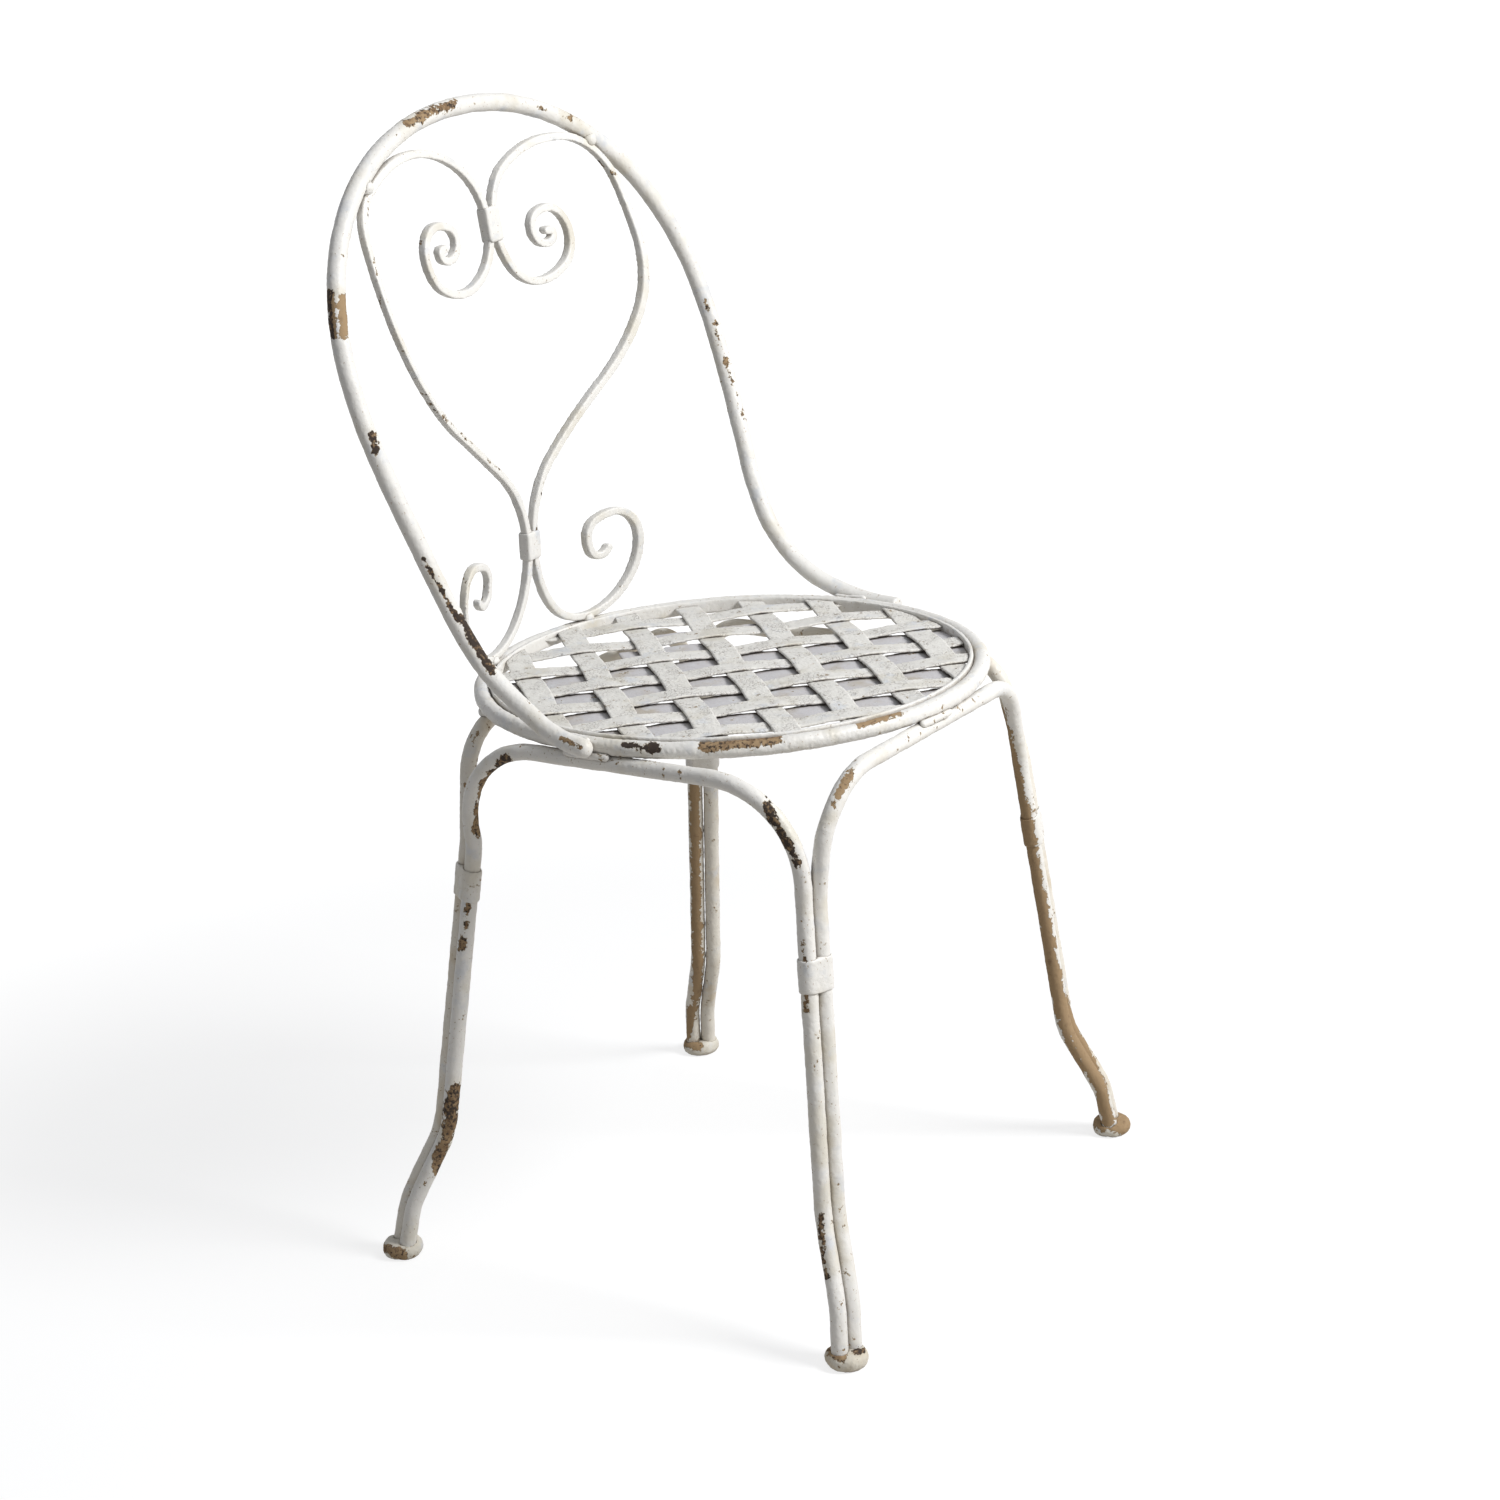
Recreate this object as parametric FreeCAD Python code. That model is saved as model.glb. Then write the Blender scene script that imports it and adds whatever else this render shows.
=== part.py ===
"""Wrought-iron garden chair with a heart-scroll back and a woven strap seat.

Millimetres, +Z up, front of the chair towards -Y. The chair is drawn about the axis of
its round seat, and then moved so that the origin is on the floor under the middle of
the whole chair.
"""
import FreeCAD
import Part
import math
import os

Vec = FreeCAD.Vector
Z_AXIS = Vec(0, 0, 1)

# Bars and clearances
FRAME_ROD = 13.0            # diameter of the seat ring, arches and legs
HOOP_ROD = 14.4             # diameter of the back hoop
SCROLL_WIDTH = 6.2          # scroll bar, across its curve
SCROLL_DEPTH = 7.0          # scroll bar, front to back
WELD_GAP = 0.1              # gap left between bars that are welded together

# Seat ring and rim
RING_RADIUS = 200.0         # centre line of the ring
RING_HEIGHT = 453.0         # centre line above the floor
RIM_THICKNESS = 3.0
RIM_HEIGHT = 11.0
RIM_BELOW = 4.0             # rim's lower edge under the ring's centre line

# Woven seat
WEAVE_TURN = 45.0           # straps run diagonally to the chair
STRAP_THICKNESS = 2.0
STRAP_WIDTH = 21.0
CROSS_COUNT = 7
CROSS_EDGE = 28.5           # straps that run from front left to back right: rim to last one
CROSS_OFFSET = -3.0
LENGTH_COUNT = 7
LENGTH_EDGE = 34.5          # straps that run from front right to back left
LENGTH_OFFSET = -4.5
WEAVE_CLEARANCE = 0.3       # least gap between crossing straps
STRAP_END_GAP = 0.2         # from a strap's end to the rim
STRAP_HEIGHT = 3.0          # middle of the weave above the ring's centre line
STRAP_OVERRUN = 2.0         # extra length that is cut off at the rim
CUTTER_HEIGHT = 60.0        # of the cylinder that cuts it off

# Stiffening straps that lie below the weave, between the lengthwise straps
STIFFENER_FROM = 4.0        # from the middle line of the straps beside it to its edges
NARROW_SIDE_GAP = 1.0       # from the edge of the strap beside a narrower one
STIFFENER_SWELL = 0.4       # how far they rise and fall between the cross straps
WHOLE_STIFFENERS = (0, 1, 2, 3)
BROKEN_STIFFENER = 4
BROKEN_FROM = -15.0
BROKEN_TO = 76.0
BROKEN_WIDTH = 30.0
NARROW_STIFFENER = 5
NARROW_WIDTH = 16.0
NARROW_FROM = -66.0
NARROW_TO = 60.0

# Arches and legs, as bent rods. The four legs stand in a rectangle whose middle is
# shifted from the seat's middle, more so under the seat than at the floor. The sizes
# are half the rectangle's width and depth at each height.
LEG_GAP = 0.6               # between the two rods of a leg, where it stands upright
FRONT_PAIR_TURN = 20.0      # how the two rods stand beside each other, from the X axis
BACK_PAIR_TURN = -58.0
FOOT_SHIFT_X = -11.0
FOOT_SHIFT_Y = -8.0
TOP_SHIFT_X = -22.0
TOP_SHIFT_Y = -26.0
SHIFT_HEIGHT = 366.0        # where the shift at the top is measured
FOOT_X = 225.0
FOOT_Y = 211.0
ANKLE_X = 217.0
ANKLE_Y = 205.5
ANKLE_HEIGHT = 46.0
ANKLE_BEND = 78.0
KICK_X = 195.0
KICK_Y = 181.5
KICK_HEIGHT = 107.0
KICK_BEND = 88.0
SHOULDER_X = 167.0
SHOULDER_Y = 156.0
SHOULDER_HEIGHT = 352.0
SHOULDER_BEND = 60.0

# The arches' upper runs, and where they turn down, from the middle of the seat
LEFT_TURN_FRONT = 182.0
LEFT_TURN_BACK = 126.0
LEFT_BEND = 72.0
RIGHT_LINE = 150.0          # the right arch passes under the ring, inside its widest place
RIGHT_TURN_FRONT = 160.0
RIGHT_TURN_BACK = 130.0
RIGHT_BEND = 42.0
BACK_LINE = 139.0           # so does the back arch
BACK_TURN_LEFT = 169.0
BACK_TURN_RIGHT = 141.0
BACK_BEND = 46.0
FRONT_TURN_LEFT = 190.0
FRONT_TURN_RIGHT = 103.0
FRONT_BEND_LEFT = 55.0
FRONT_BEND_RIGHT = 45.0
FRONT_TOUCH = -30.0         # where the front arch touches the ring's underside, along X
FRONT_FALL = 0.03           # how much it falls towards the right, per length
FRONT_SKEW = 0.02           # and how much it runs inwards
FRONT_EASE = 0.3            # extra gap to the ring, because it doesn't run level

COLLAR_HEIGHT = 27.0        # leg collars
FRONT_COLLAR_LEVEL = 295.0
BACK_COLLAR_LEVEL = 320.0
COLLAR_WALL = 1.4

# Feet
FOOT_WIDTH = 33.0
FOOT_SOLE = 25.0
FOOT_HEIGHT = 13.0
ROD_END = 4.0               # height of the leg rods' lower ends

# Back hoop
HOOP_TOP = 898.0            # centre line
HOOP_HALF_WIDTH = 236.0
HOOP_SPRING = 703.0         # height of the hoop's widest place
HOOP_FULLNESS = 2.1         # 2 is an ellipse, more is squarer
HOOP_LEAN = 18.9            # degrees from upright
HOOP_SWEEP = 140.0          # radius of the bend that lays the ends along the ring
HOOP_BEND_END = -26.0       # where that bend runs out level
HOOP_HUG = 46.0             # the hoop follows the ring in front of this
LEFT_END = -4.0
RIGHT_END = -33.0

# Heart scrolls; the left one mirrors the right one, but its lobe is higher
RIGHT_CONTACT = 40.0        # where the lobes meet the hoop, in degrees from the crown
LEFT_CONTACT = 37.0
LOBE_TOP_IN = 60.0          # from that place to the lobe's top
RIGHT_LOBE_UP = 14.0
LEFT_LOBE_UP = 20.0
RIGHT_CURL_DOWN = 8.0       # how much lower the curl inside the right lobe hangs
LOBE_SIDE_OUT = 21.0        # from the right lobe's place to the lobes' outer sides
LOBE_SIDE_DOWN = 74.0
NECK_DOWN = 41.0            # from the right lobe's place to the neck of the heart
SCROLL_SPACING = 1.2        # gap between the two bars at the collars
SLANT_X = 98.0              # middle of the heart's long side
SLANT_ABOVE_RING = 203.0
SLANT_TURN = 215.0
WAIST_ABOVE_RING = 88.0
TOE_OUT = 64.0              # from the waist to the scroll's lowest place
HEEL_OUT = 56.0             # from there to its outer side
HEEL_RISE = 56.0
PANEL_NECK_Y = 203.0
PANEL_WAIST_Y = 190.5
PANEL_SEAT_DROP = 32.0      # how far the panel curves forward, 150 mm out
PANEL_MIDDLE_DROP = 30.0
PANEL_REACH = 150.0
UPPER_COLLAR_HEIGHT = 28.0
LOWER_COLLAR_HEIGHT = 24.0
SCROLL_COLLAR_WALL = 2.0

# Welds
BEAD = 3.2                  # radius of a weld run
SPOT_WELD = 6.5             # radius of a spot weld
ARCH_WELD = 36.0            # length of the welds between arches and ring
ARCH_WELD_SEAT = 0.9        # how far out they lie, of the rods' radius
HOOP_WELD_FROM = -2.0
HOOP_WELD_TO = 22.0
HOOP_WELD_SEAT = 0.7        # how far up on the ring they lie, of its radius

FRAME_R = FRAME_ROD / 2.0
HOOP_R = HOOP_ROD / 2.0
RIM_OUTER = RING_RADIUS - FRAME_R - WELD_GAP
RIM_INNER = RIM_OUTER - RIM_THICKNESS
CROSS_PITCH = (RIM_INNER - CROSS_EDGE) * 2.0 / (CROSS_COUNT - 1)
LENGTH_PITCH = (RIM_INNER - LENGTH_EDGE) * 2.0 / (LENGTH_COUNT - 1)
ARCH_HEIGHT = RING_HEIGHT - FRAME_ROD - WELD_GAP
PAIR_OFFSET = FRAME_R + LEG_GAP / 2.0
SCROLL_X = (SCROLL_WIDTH + SCROLL_SPACING) / 2.0
WEAVE_Z = RING_HEIGHT + STRAP_HEIGHT


def smooth_step(t):
    """Rise from 0 to 1 with level ends."""
    return t * t * (3.0 - 2.0 * t)


def parabola(p, q, r):
    """Return the parabola through three (place, value) pairs as a function."""
    def value(z):
        total = 0.0
        for one, two, three in ((p, q, r), (q, p, r), (r, p, q)):
            share = (z - two[0]) * (z - three[0])
            share /= (one[0] - two[0]) * (one[0] - three[0])
            total += one[1] * share
        return total
    return value


def corner_arc(start, corner, end):
    """Return the arc from start to end that touches both sides of a corner."""
    middle = (start + end) * 0.5
    rise = corner - middle
    turn = math.atan2(rise.Length, (end - start).Length / 2.0)
    if turn < 1e-5:
        return Part.LineSegment(start, end).toShape()
    share = math.tan(turn / 2.0) / math.tan(turn)
    return Part.Arc(start, middle + rise * share, end).toShape()


def bent_wire(corners, bends):
    """Join the corners with straight runs, rounded by an arc at each inner corner."""
    edges = []
    start = corners[0]
    for index in range(1, len(corners) - 1):
        corner = corners[index]
        inward = (corners[index - 1] - corner).normalize()
        outward = (corners[index + 1] - corner).normalize()
        cut = bends[index - 1] / math.tan(inward.getAngle(outward) / 2.0)
        first = corner + inward * cut
        last = corner + outward * cut
        edges.append(Part.LineSegment(start, first).toShape())
        edges.append(corner_arc(first, corner, last))
        start = last
    edges.append(Part.LineSegment(start, corners[-1]).toShape())
    return Part.Wire(edges)


def arc_pair(start, start_way, end, end_way):
    """Return two arcs that leave start and reach end in the given directions."""
    span = end - start
    both = start_way + end_way
    bend = 2.0 * (1.0 - start_way.dot(end_way))
    along = span.dot(both)
    if bend < 1e-9:
        reach = span.dot(span) / (2.0 * along)
    else:
        reach = (math.sqrt(along * along + bend * span.dot(span)) - along) / bend
    first = start + start_way * reach
    second = end - end_way * reach
    joint = (first + second) * 0.5
    return [corner_arc(start, first, joint), corner_arc(joint, second, end)]


def arc_wire(places, ways):
    """Join places by arcs that pass each one in its given direction."""
    edges = []
    for index in range(len(places) - 1):
        edges += arc_pair(places[index], ways[index], places[index + 1], ways[index + 1])
    return Part.Wire(edges)


def smooth_ways(places, first_way, last_way):
    """Return a direction at each place, that of the circle through its neighbours."""
    ways = [first_way]
    for index in range(1, len(places) - 1):
        before = places[index] - places[index - 1]
        after = places[index + 1] - places[index]
        ratio = after.Length / before.Length
        ways.append((before * ratio + after * (1.0 / ratio)).normalize())
    ways.append(last_way)
    return ways


def round_bar(wire, radius):
    """Sweep a round section along a wire."""
    edge = wire.OrderedEdges[0]
    first = edge.FirstParameter
    section = Part.Wire([Part.makeCircle(radius, edge.valueAt(first), edge.tangentAt(first))])
    return wire.makePipeShell([section], True, False)


def turned(shape, degrees, axis=Z_AXIS):
    copy = shape.copy()
    copy.rotate(Vec(0, 0, 0), axis, degrees)
    return copy


def mirrored_x(shape):
    return shape.mirror(Vec(0, 0, 0), Vec(1, 0, 0))


def solids_only(shape):
    """Return a shape as its clean solids."""
    solids = shape.Solids
    if len(solids) == 1:
        return solids[0]
    return Part.makeCompound(solids)


# Back hoop

def hoop_y(z):
    """Return how far back the hoop's centre line is at a height."""
    lean = math.radians(HOOP_LEAN)
    bend_centre = RING_HEIGHT + HOOP_SWEEP
    tangent_z = bend_centre - HOOP_SWEEP * math.sin(lean)
    tangent_y = HOOP_BEND_END + HOOP_SWEEP * math.cos(lean)
    if z >= tangent_z:
        return tangent_y + (z - tangent_z) * math.tan(lean)
    return HOOP_BEND_END + math.sqrt(HOOP_SWEEP ** 2 - (bend_centre - z) ** 2)


def hoop_level(y):
    """Return the height of the hoop's lower bend at a distance from the seat's middle."""
    if y <= HOOP_BEND_END:
        return RING_HEIGHT
    return RING_HEIGHT + HOOP_SWEEP - math.sqrt(HOOP_SWEEP ** 2 - (y - HOOP_BEND_END) ** 2)


def crown_place(degrees):
    """Return x and z of the hoop's crown at an angle from its top."""
    turn = math.radians(degrees)
    power = 2.0 / HOOP_FULLNESS
    x = HOOP_HALF_WIDTH * max(0.0, math.sin(turn)) ** power
    z = HOOP_SPRING + (HOOP_TOP - HOOP_SPRING) * max(0.0, math.cos(turn)) ** power
    return x, z


def hug_x(y):
    """Return how far out the hoop is where it lies against the ring."""
    reach = RING_RADIUS + FRAME_R + HOOP_R + WELD_GAP
    return math.sqrt(reach ** 2 - y ** 2)


def hoop_side(end_y):
    """Return places down the hoop's right side, from the crown to one end."""
    places = []
    crown_steps = 6
    for step in range(crown_steps + 1):
        x, z = crown_place(90.0 * step / crown_steps)
        places.append(Vec(x, hoop_y(z), z))
    hug_z = hoop_level(HOOP_HUG)
    low_x = hug_x(HOOP_HUG)
    side_steps = 6
    for step in range(1, side_steps):
        share = 1.0 - step / side_steps
        z = hug_z + (HOOP_SPRING - hug_z) * share
        x = low_x + (HOOP_HALF_WIDTH - low_x) * smooth_step(share)
        places.append(Vec(x, hoop_y(z), z))
    end_steps = 3
    for step in range(end_steps + 1):
        y = HOOP_HUG + (end_y - HOOP_HUG) * step / end_steps
        places.append(Vec(hug_x(y), y, hoop_level(y)))
    return places


def make_hoop():
    right = hoop_side(RIGHT_END)
    left = [Vec(-p.x, p.y, p.z) for p in hoop_side(LEFT_END)[1:]]
    places = left[::-1] + right
    first_way = (places[1] - places[0]).normalize()
    last_way = (places[-1] - places[-2]).normalize()
    hoop = round_bar(arc_wire(places, smooth_ways(places, first_way, last_way)), HOOP_R)
    return hoop.fuse(Part.makeSphere(HOOP_R, places[0])).removeSplitter().Solids[0]


# Heart scrolls

def contact_place(angle):
    """Return x, z and the direction of the lobe's bar where it meets the hoop."""
    x, z = crown_place(angle)
    near_x, near_z = crown_place(angle + 0.5)
    turn = math.atan2(near_z - z, near_x - x)
    gap = HOOP_R + SCROLL_WIDTH / 2.0 + WELD_GAP
    return x + gap * math.sin(turn), z - gap * math.cos(turn), math.degrees(turn)


def neck_level():
    """Return the height of the heart's neck, where the two scrolls meet."""
    return contact_place(RIGHT_CONTACT)[1] - NECK_DOWN


def scroll_path(contact, lobe_up, curl_down):
    """Return the right scroll's places and headings, (x, z, degrees), seen from the front."""
    contact_x, contact_z, contact_turn = contact_place(contact)
    top = (contact_x - LOBE_TOP_IN, contact_z + lobe_up)
    neck = (SCROLL_X, neck_level())
    side_x, side_z, _ = contact_place(RIGHT_CONTACT)
    side = (side_x + LOBE_SIDE_OUT, side_z - LOBE_SIDE_DOWN)
    toe = (SCROLL_X + TOE_OUT, toe_level())
    heel = (toe[0] + HEEL_OUT, toe[1] + HEEL_RISE)
    # The curl inside each lobe, as its outermost places in turn
    upper_curl = ((63, -8, 0), (71, -11, -90), (61, -18, 180), (46, -4, 90),
                  (68, 10, 0), (91, -14, -90), (48, -46, 180))
    lower_curl = ((-26, 28, 180), (-54, 11, 270), (-41, -7, 360), (-32, -2, 420))
    path = [(neck[0] + x, neck[1] + z - curl_down, turn) for x, z, turn in upper_curl]
    path.append(neck + (90,))
    path.append(top + (0,))
    path.append((contact_x, contact_z, contact_turn))
    path.append(side + (-90,))
    path.append((SLANT_X, RING_HEIGHT + SLANT_ABOVE_RING, SLANT_TURN))
    path.append((SCROLL_X, RING_HEIGHT + WAIST_ABOVE_RING, -90))
    path.append(toe + (0,))
    path.append(heel + (90,))
    path += [(heel[0] + x, heel[1] + z, turn) for x, z, turn in lower_curl]
    return path


def toe_level():
    """Return the height of the scroll's lowest place, where it stands on the ring."""
    return RING_HEIGHT + FRAME_R + SCROLL_WIDTH / 2.0 + WELD_GAP


def panel_surface():
    """Return how far back the curved back panel is at (x, z), as a function."""
    contact_x, contact_z, _ = contact_place(RIGHT_CONTACT)
    neck_z = neck_level()
    waist_z = RING_HEIGHT + WAIST_ABOVE_RING
    toe_x = SCROLL_X + TOE_OUT
    toe_y = math.sqrt(RING_RADIUS ** 2 - toe_x ** 2)
    seat_y = toe_y + PANEL_SEAT_DROP * (toe_x / PANEL_REACH) ** 2
    middle = parabola((toe_level(), seat_y), (waist_z, PANEL_WAIST_Y), (neck_z, PANEL_NECK_Y))
    top_drop = (middle(contact_z) - hoop_y(contact_z)) * (PANEL_REACH / contact_x) ** 2
    middle_z = (toe_level() + contact_z) / 2.0
    drop = parabola((toe_level(), PANEL_SEAT_DROP), (middle_z, PANEL_MIDDLE_DROP),
                    (contact_z, top_drop))

    def back(x, z):
        return middle(z) - drop(z) * (x / PANEL_REACH) ** 2
    return back


def panel_slab(thickness):
    """Make a curved slab that lies evenly about the back panel's surface."""
    back = panel_surface()
    across_steps = 6
    up_steps = 8
    grid = []
    for across in range(across_steps + 1):
        row = []
        for up in range(up_steps + 1):
            x = -SCROLL_WIDTH + (HOOP_HALF_WIDTH + SCROLL_WIDTH) * across / across_steps
            z = RING_HEIGHT + (HOOP_TOP - RING_HEIGHT) * up / up_steps
            row.append(Vec(x, back(x, z) - thickness / 2.0, z))
        grid.append(row)
    surface = Part.BSplineSurface()
    surface.interpolate(grid)
    return surface.toShape().extrude(Vec(0, thickness, 0))


def make_scroll(contact, lobe_up, curl_down):
    """Make a scroll for the right side; its lobe rises lobe_up above where it meets the hoop."""
    path = scroll_path(contact, lobe_up, curl_down)
    front = -RING_RADIUS
    places = [Vec(x, front, z) for x, z, _ in path]
    ways = []
    for _, _, degrees in path:
        turn = math.radians(degrees)
        ways.append(Vec(math.cos(turn), 0, math.sin(turn)))
    outline = arc_wire(places, ways).makeOffset2D(SCROLL_WIDTH / 2.0, 0, False, False, True)
    band = Part.Face(outline).extrude(Vec(0, 3.0 * RING_RADIUS, 0))
    return biggest(band.common(panel_slab(SCROLL_DEPTH)))


def make_scroll_collar(level, height, scrolls):
    """Wrap a band round both scroll bars at a height."""
    back = panel_surface()
    low = Vec(0, back(0, level - height / 2.0), level - height / 2.0)
    high = Vec(0, back(0, level + height / 2.0), level + height / 2.0)
    width = 2.0 * (SCROLL_X + SCROLL_WIDTH / 2.0 + SCROLL_COLLAR_WALL)
    depth = SCROLL_DEPTH + 2.0 * SCROLL_COLLAR_WALL
    block = Part.makeBox(width, depth, (high - low).Length)
    block = block.makeFillet(SCROLL_COLLAR_WALL, block.Edges)
    block.translate(Vec(-width / 2.0, -depth / 2.0, 0))
    tilt = math.degrees(math.atan2(low.y - high.y, high.z - low.z))
    block.rotate(Vec(0, 0, 0), Vec(1, 0, 0), tilt)
    block.translate(low)
    return biggest(block.cut(scrolls))


def biggest(shape):
    return max(shape.Solids, key=lambda solid: solid.Volume)


# Seat

def make_ring():
    return Part.makeTorus(RING_RADIUS, FRAME_R, Vec(0, 0, RING_HEIGHT))


def make_rim():
    low = Vec(0, 0, RING_HEIGHT - RIM_BELOW)
    outer = Part.makeCylinder(RIM_OUTER, RIM_HEIGHT, low)
    return outer.cut(Part.makeCylinder(RIM_INNER, RIM_HEIGHT, low))


def weave_height(count_pitch):
    """Return how far a strap rises over each crossing, for the pitch it crosses."""
    edge = math.cos(math.pi * STRAP_WIDTH / 2.0 / count_pitch)
    return (STRAP_THICKNESS + WEAVE_CLEARANCE) / (2.0 * edge)


def strap_solid(height_at, place, width, start, end):
    """Make a strap along local X whose middle follows height_at, cut to the rim."""
    steps = max(8, int((end - start) / (CROSS_PITCH / 6.0)))
    upper = []
    lower = []
    for step in range(steps + 1):
        x = start + (end - start) * step / steps
        z = WEAVE_Z + height_at(x)
        upper.append(Vec(x, place - width / 2.0, z + STRAP_THICKNESS / 2.0))
        lower.append(Vec(x, place - width / 2.0, z - STRAP_THICKNESS / 2.0))
    top = Part.BSplineCurve()
    top.interpolate(upper)
    bottom = Part.BSplineCurve()
    bottom.interpolate(lower)
    outline = Part.Wire([top.toShape(), Part.LineSegment(upper[-1], lower[-1]).toShape(),
                         bottom.toShape(), Part.LineSegment(lower[0], upper[0]).toShape()])
    strip = Part.Face(outline).extrude(Vec(0, width, 0))
    low = Vec(0, 0, WEAVE_Z - CUTTER_HEIGHT / 2.0)
    inside = Part.makeCylinder(RIM_INNER - STRAP_END_GAP, CUTTER_HEIGHT, low)
    return solids_only(strip.common(inside))


def chord(place, width):
    """Return half the length that a strap needs at a place across the seat."""
    inner = max(0.0, abs(place) - width / 2.0)
    return math.sqrt(RIM_INNER ** 2 - inner ** 2) + STRAP_OVERRUN


def cross_place(index):
    return CROSS_OFFSET + CROSS_PITCH * (index - (CROSS_COUNT - 1) / 2.0)


def length_place(index):
    return LENGTH_OFFSET + LENGTH_PITCH * (index - (LENGTH_COUNT - 1) / 2.0)


def make_cross_strap(index):
    """Make one strap that runs along the weave's first direction."""
    rise = weave_height(LENGTH_PITCH)
    place = cross_place(index)

    def height_at(x):
        turns = (x - length_place(0)) / LENGTH_PITCH + index
        return -rise * math.cos(math.pi * turns)
    half = chord(place, STRAP_WIDTH)
    return turned(strap_solid(height_at, place, STRAP_WIDTH, -half, half), WEAVE_TURN)


def make_length_strap(index):
    """Make one strap that runs along the weave's second direction."""
    rise = weave_height(CROSS_PITCH)
    place = length_place(index)

    def height_at(x):
        turns = (x - cross_place(0)) / CROSS_PITCH + index
        return rise * math.cos(math.pi * turns)
    half = chord(place, STRAP_WIDTH)
    strap = strap_solid(height_at, -place, STRAP_WIDTH, -half, half)
    return turned(strap, WEAVE_TURN + 90.0)


def make_stiffener(index, reach, width, start=None, end=None):
    """Make one plain strap under the weave, from reach beside a lengthwise strap's middle."""
    place = length_place(index) + reach + width / 2.0
    lowest = weave_height(LENGTH_PITCH) * math.cos(math.pi * reach / LENGTH_PITCH)
    lowest += STRAP_THICKNESS
    level = -lowest - WEAVE_CLEARANCE - STIFFENER_SWELL

    def height_at(x):
        turns = (x - cross_place(0)) / CROSS_PITCH
        return level - STIFFENER_SWELL * math.cos(2.0 * math.pi * turns)
    half = chord(place, width)
    start = -half if start is None else start
    end = half if end is None else end
    strap = strap_solid(height_at, -place, width, start, end)
    return turned(strap, WEAVE_TURN + 90.0)


# Arches, legs and feet

def frame_shift(height):
    """Return how far the leg frame's middle is from the seat's middle at a height."""
    share = height / SHIFT_HEIGHT
    return Vec(FOOT_SHIFT_X + (TOP_SHIFT_X - FOOT_SHIFT_X) * share,
               FOOT_SHIFT_Y + (TOP_SHIFT_Y - FOOT_SHIFT_Y) * share, 0)


def pair_turn(right, back):
    """Return the direction in degrees from a leg's second rod to its side arch's rod."""
    turn = BACK_PAIR_TURN if back > 0 else FRONT_PAIR_TURN
    return turn if right > 0 else 180.0 - turn


def leg_corners(right, back, rod):
    """Return the corners of one rod of a leg, from its foot upwards.

    right and back are 1 or -1 and say which leg it is. rod is 1 for the rod of the
    side arch, -1 for that of the front or back arch and 0 for the leg's middle.
    """
    turn = math.radians(pair_turn(right, back))
    offset = Vec(math.cos(turn), math.sin(turn), 0) * (PAIR_OFFSET * rod)
    levels = ((FOOT_X, FOOT_Y, ROD_END), (ANKLE_X, ANKLE_Y, ANKLE_HEIGHT),
              (KICK_X, KICK_Y, KICK_HEIGHT), (SHOULDER_X, SHOULDER_Y, SHOULDER_HEIGHT))
    return [Vec(right * x, back * y, z) + frame_shift(z) + offset for x, y, z in levels]


def bent_arch(first_leg, first_corner, second_corner, second_leg):
    """Bend one rod up a leg, over under the seat and down another leg.

    The corners where it turns down are (place, radius of the bend) pairs.
    """
    leg_bends = [ANKLE_BEND, KICK_BEND, SHOULDER_BEND]
    corners = first_leg + [first_corner[0], second_corner[0]] + second_leg[::-1]
    bends = leg_bends + [first_corner[1], second_corner[1]] + leg_bends[::-1]
    return round_bar(bent_wire(corners, bends), FRAME_R)


def make_side_arch(right, x, front_turn, back_turn, bend):
    """Make the arch of one side of the chair, right 1 or left -1."""
    front = (Vec(x, -front_turn, ARCH_HEIGHT), bend)
    back = (Vec(x, back_turn, ARCH_HEIGHT), bend)
    return bent_arch(leg_corners(right, -1, 1), front, back, leg_corners(right, 1, 1))


def front_run(x):
    """Return the place on the front arch's upper run at x."""
    along = x - FRONT_TOUCH
    y = -math.sqrt(RING_RADIUS ** 2 - FRONT_TOUCH ** 2) + FRONT_SKEW * along
    return Vec(x, y, ARCH_HEIGHT - FRONT_EASE - FRONT_FALL * along)


def make_front_arch():
    left = (front_run(-FRONT_TURN_LEFT), FRONT_BEND_LEFT)
    right = (front_run(FRONT_TURN_RIGHT), FRONT_BEND_RIGHT)
    return bent_arch(leg_corners(-1, -1, -1), left, right, leg_corners(1, -1, -1))


def make_back_arch():
    left = (Vec(-BACK_TURN_LEFT, BACK_LINE, ARCH_HEIGHT), BACK_BEND)
    right = (Vec(BACK_TURN_RIGHT, BACK_LINE, ARCH_HEIGHT), BACK_BEND)
    return bent_arch(leg_corners(-1, 1, -1), left, right, leg_corners(1, 1, -1))


def make_foot(x, y, rods):
    """Forge a round pad round the lower ends of a leg's two rods."""
    sole = FOOT_SOLE / 2.0
    widest = FOOT_WIDTH / 2.0
    half = FOOT_HEIGHT / 2.0
    edges = [Part.LineSegment(Vec(0, 0, 0), Vec(sole, 0, 0)).toShape(),
             Part.Arc(Vec(sole, 0, 0), Vec(widest, 0, half), Vec(sole, 0, FOOT_HEIGHT)).toShape(),
             Part.LineSegment(Vec(sole, 0, FOOT_HEIGHT), Vec(0, 0, FOOT_HEIGHT)).toShape(),
             Part.LineSegment(Vec(0, 0, FOOT_HEIGHT), Vec(0, 0, 0)).toShape()]
    pad = Part.Face(Part.Wire(edges)).revolve(Vec(0, 0, 0), Z_AXIS, 360)
    pad = solids_only(pad)
    pad.translate(Vec(x, y, 0))
    return biggest(pad.cut(rods))


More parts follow.
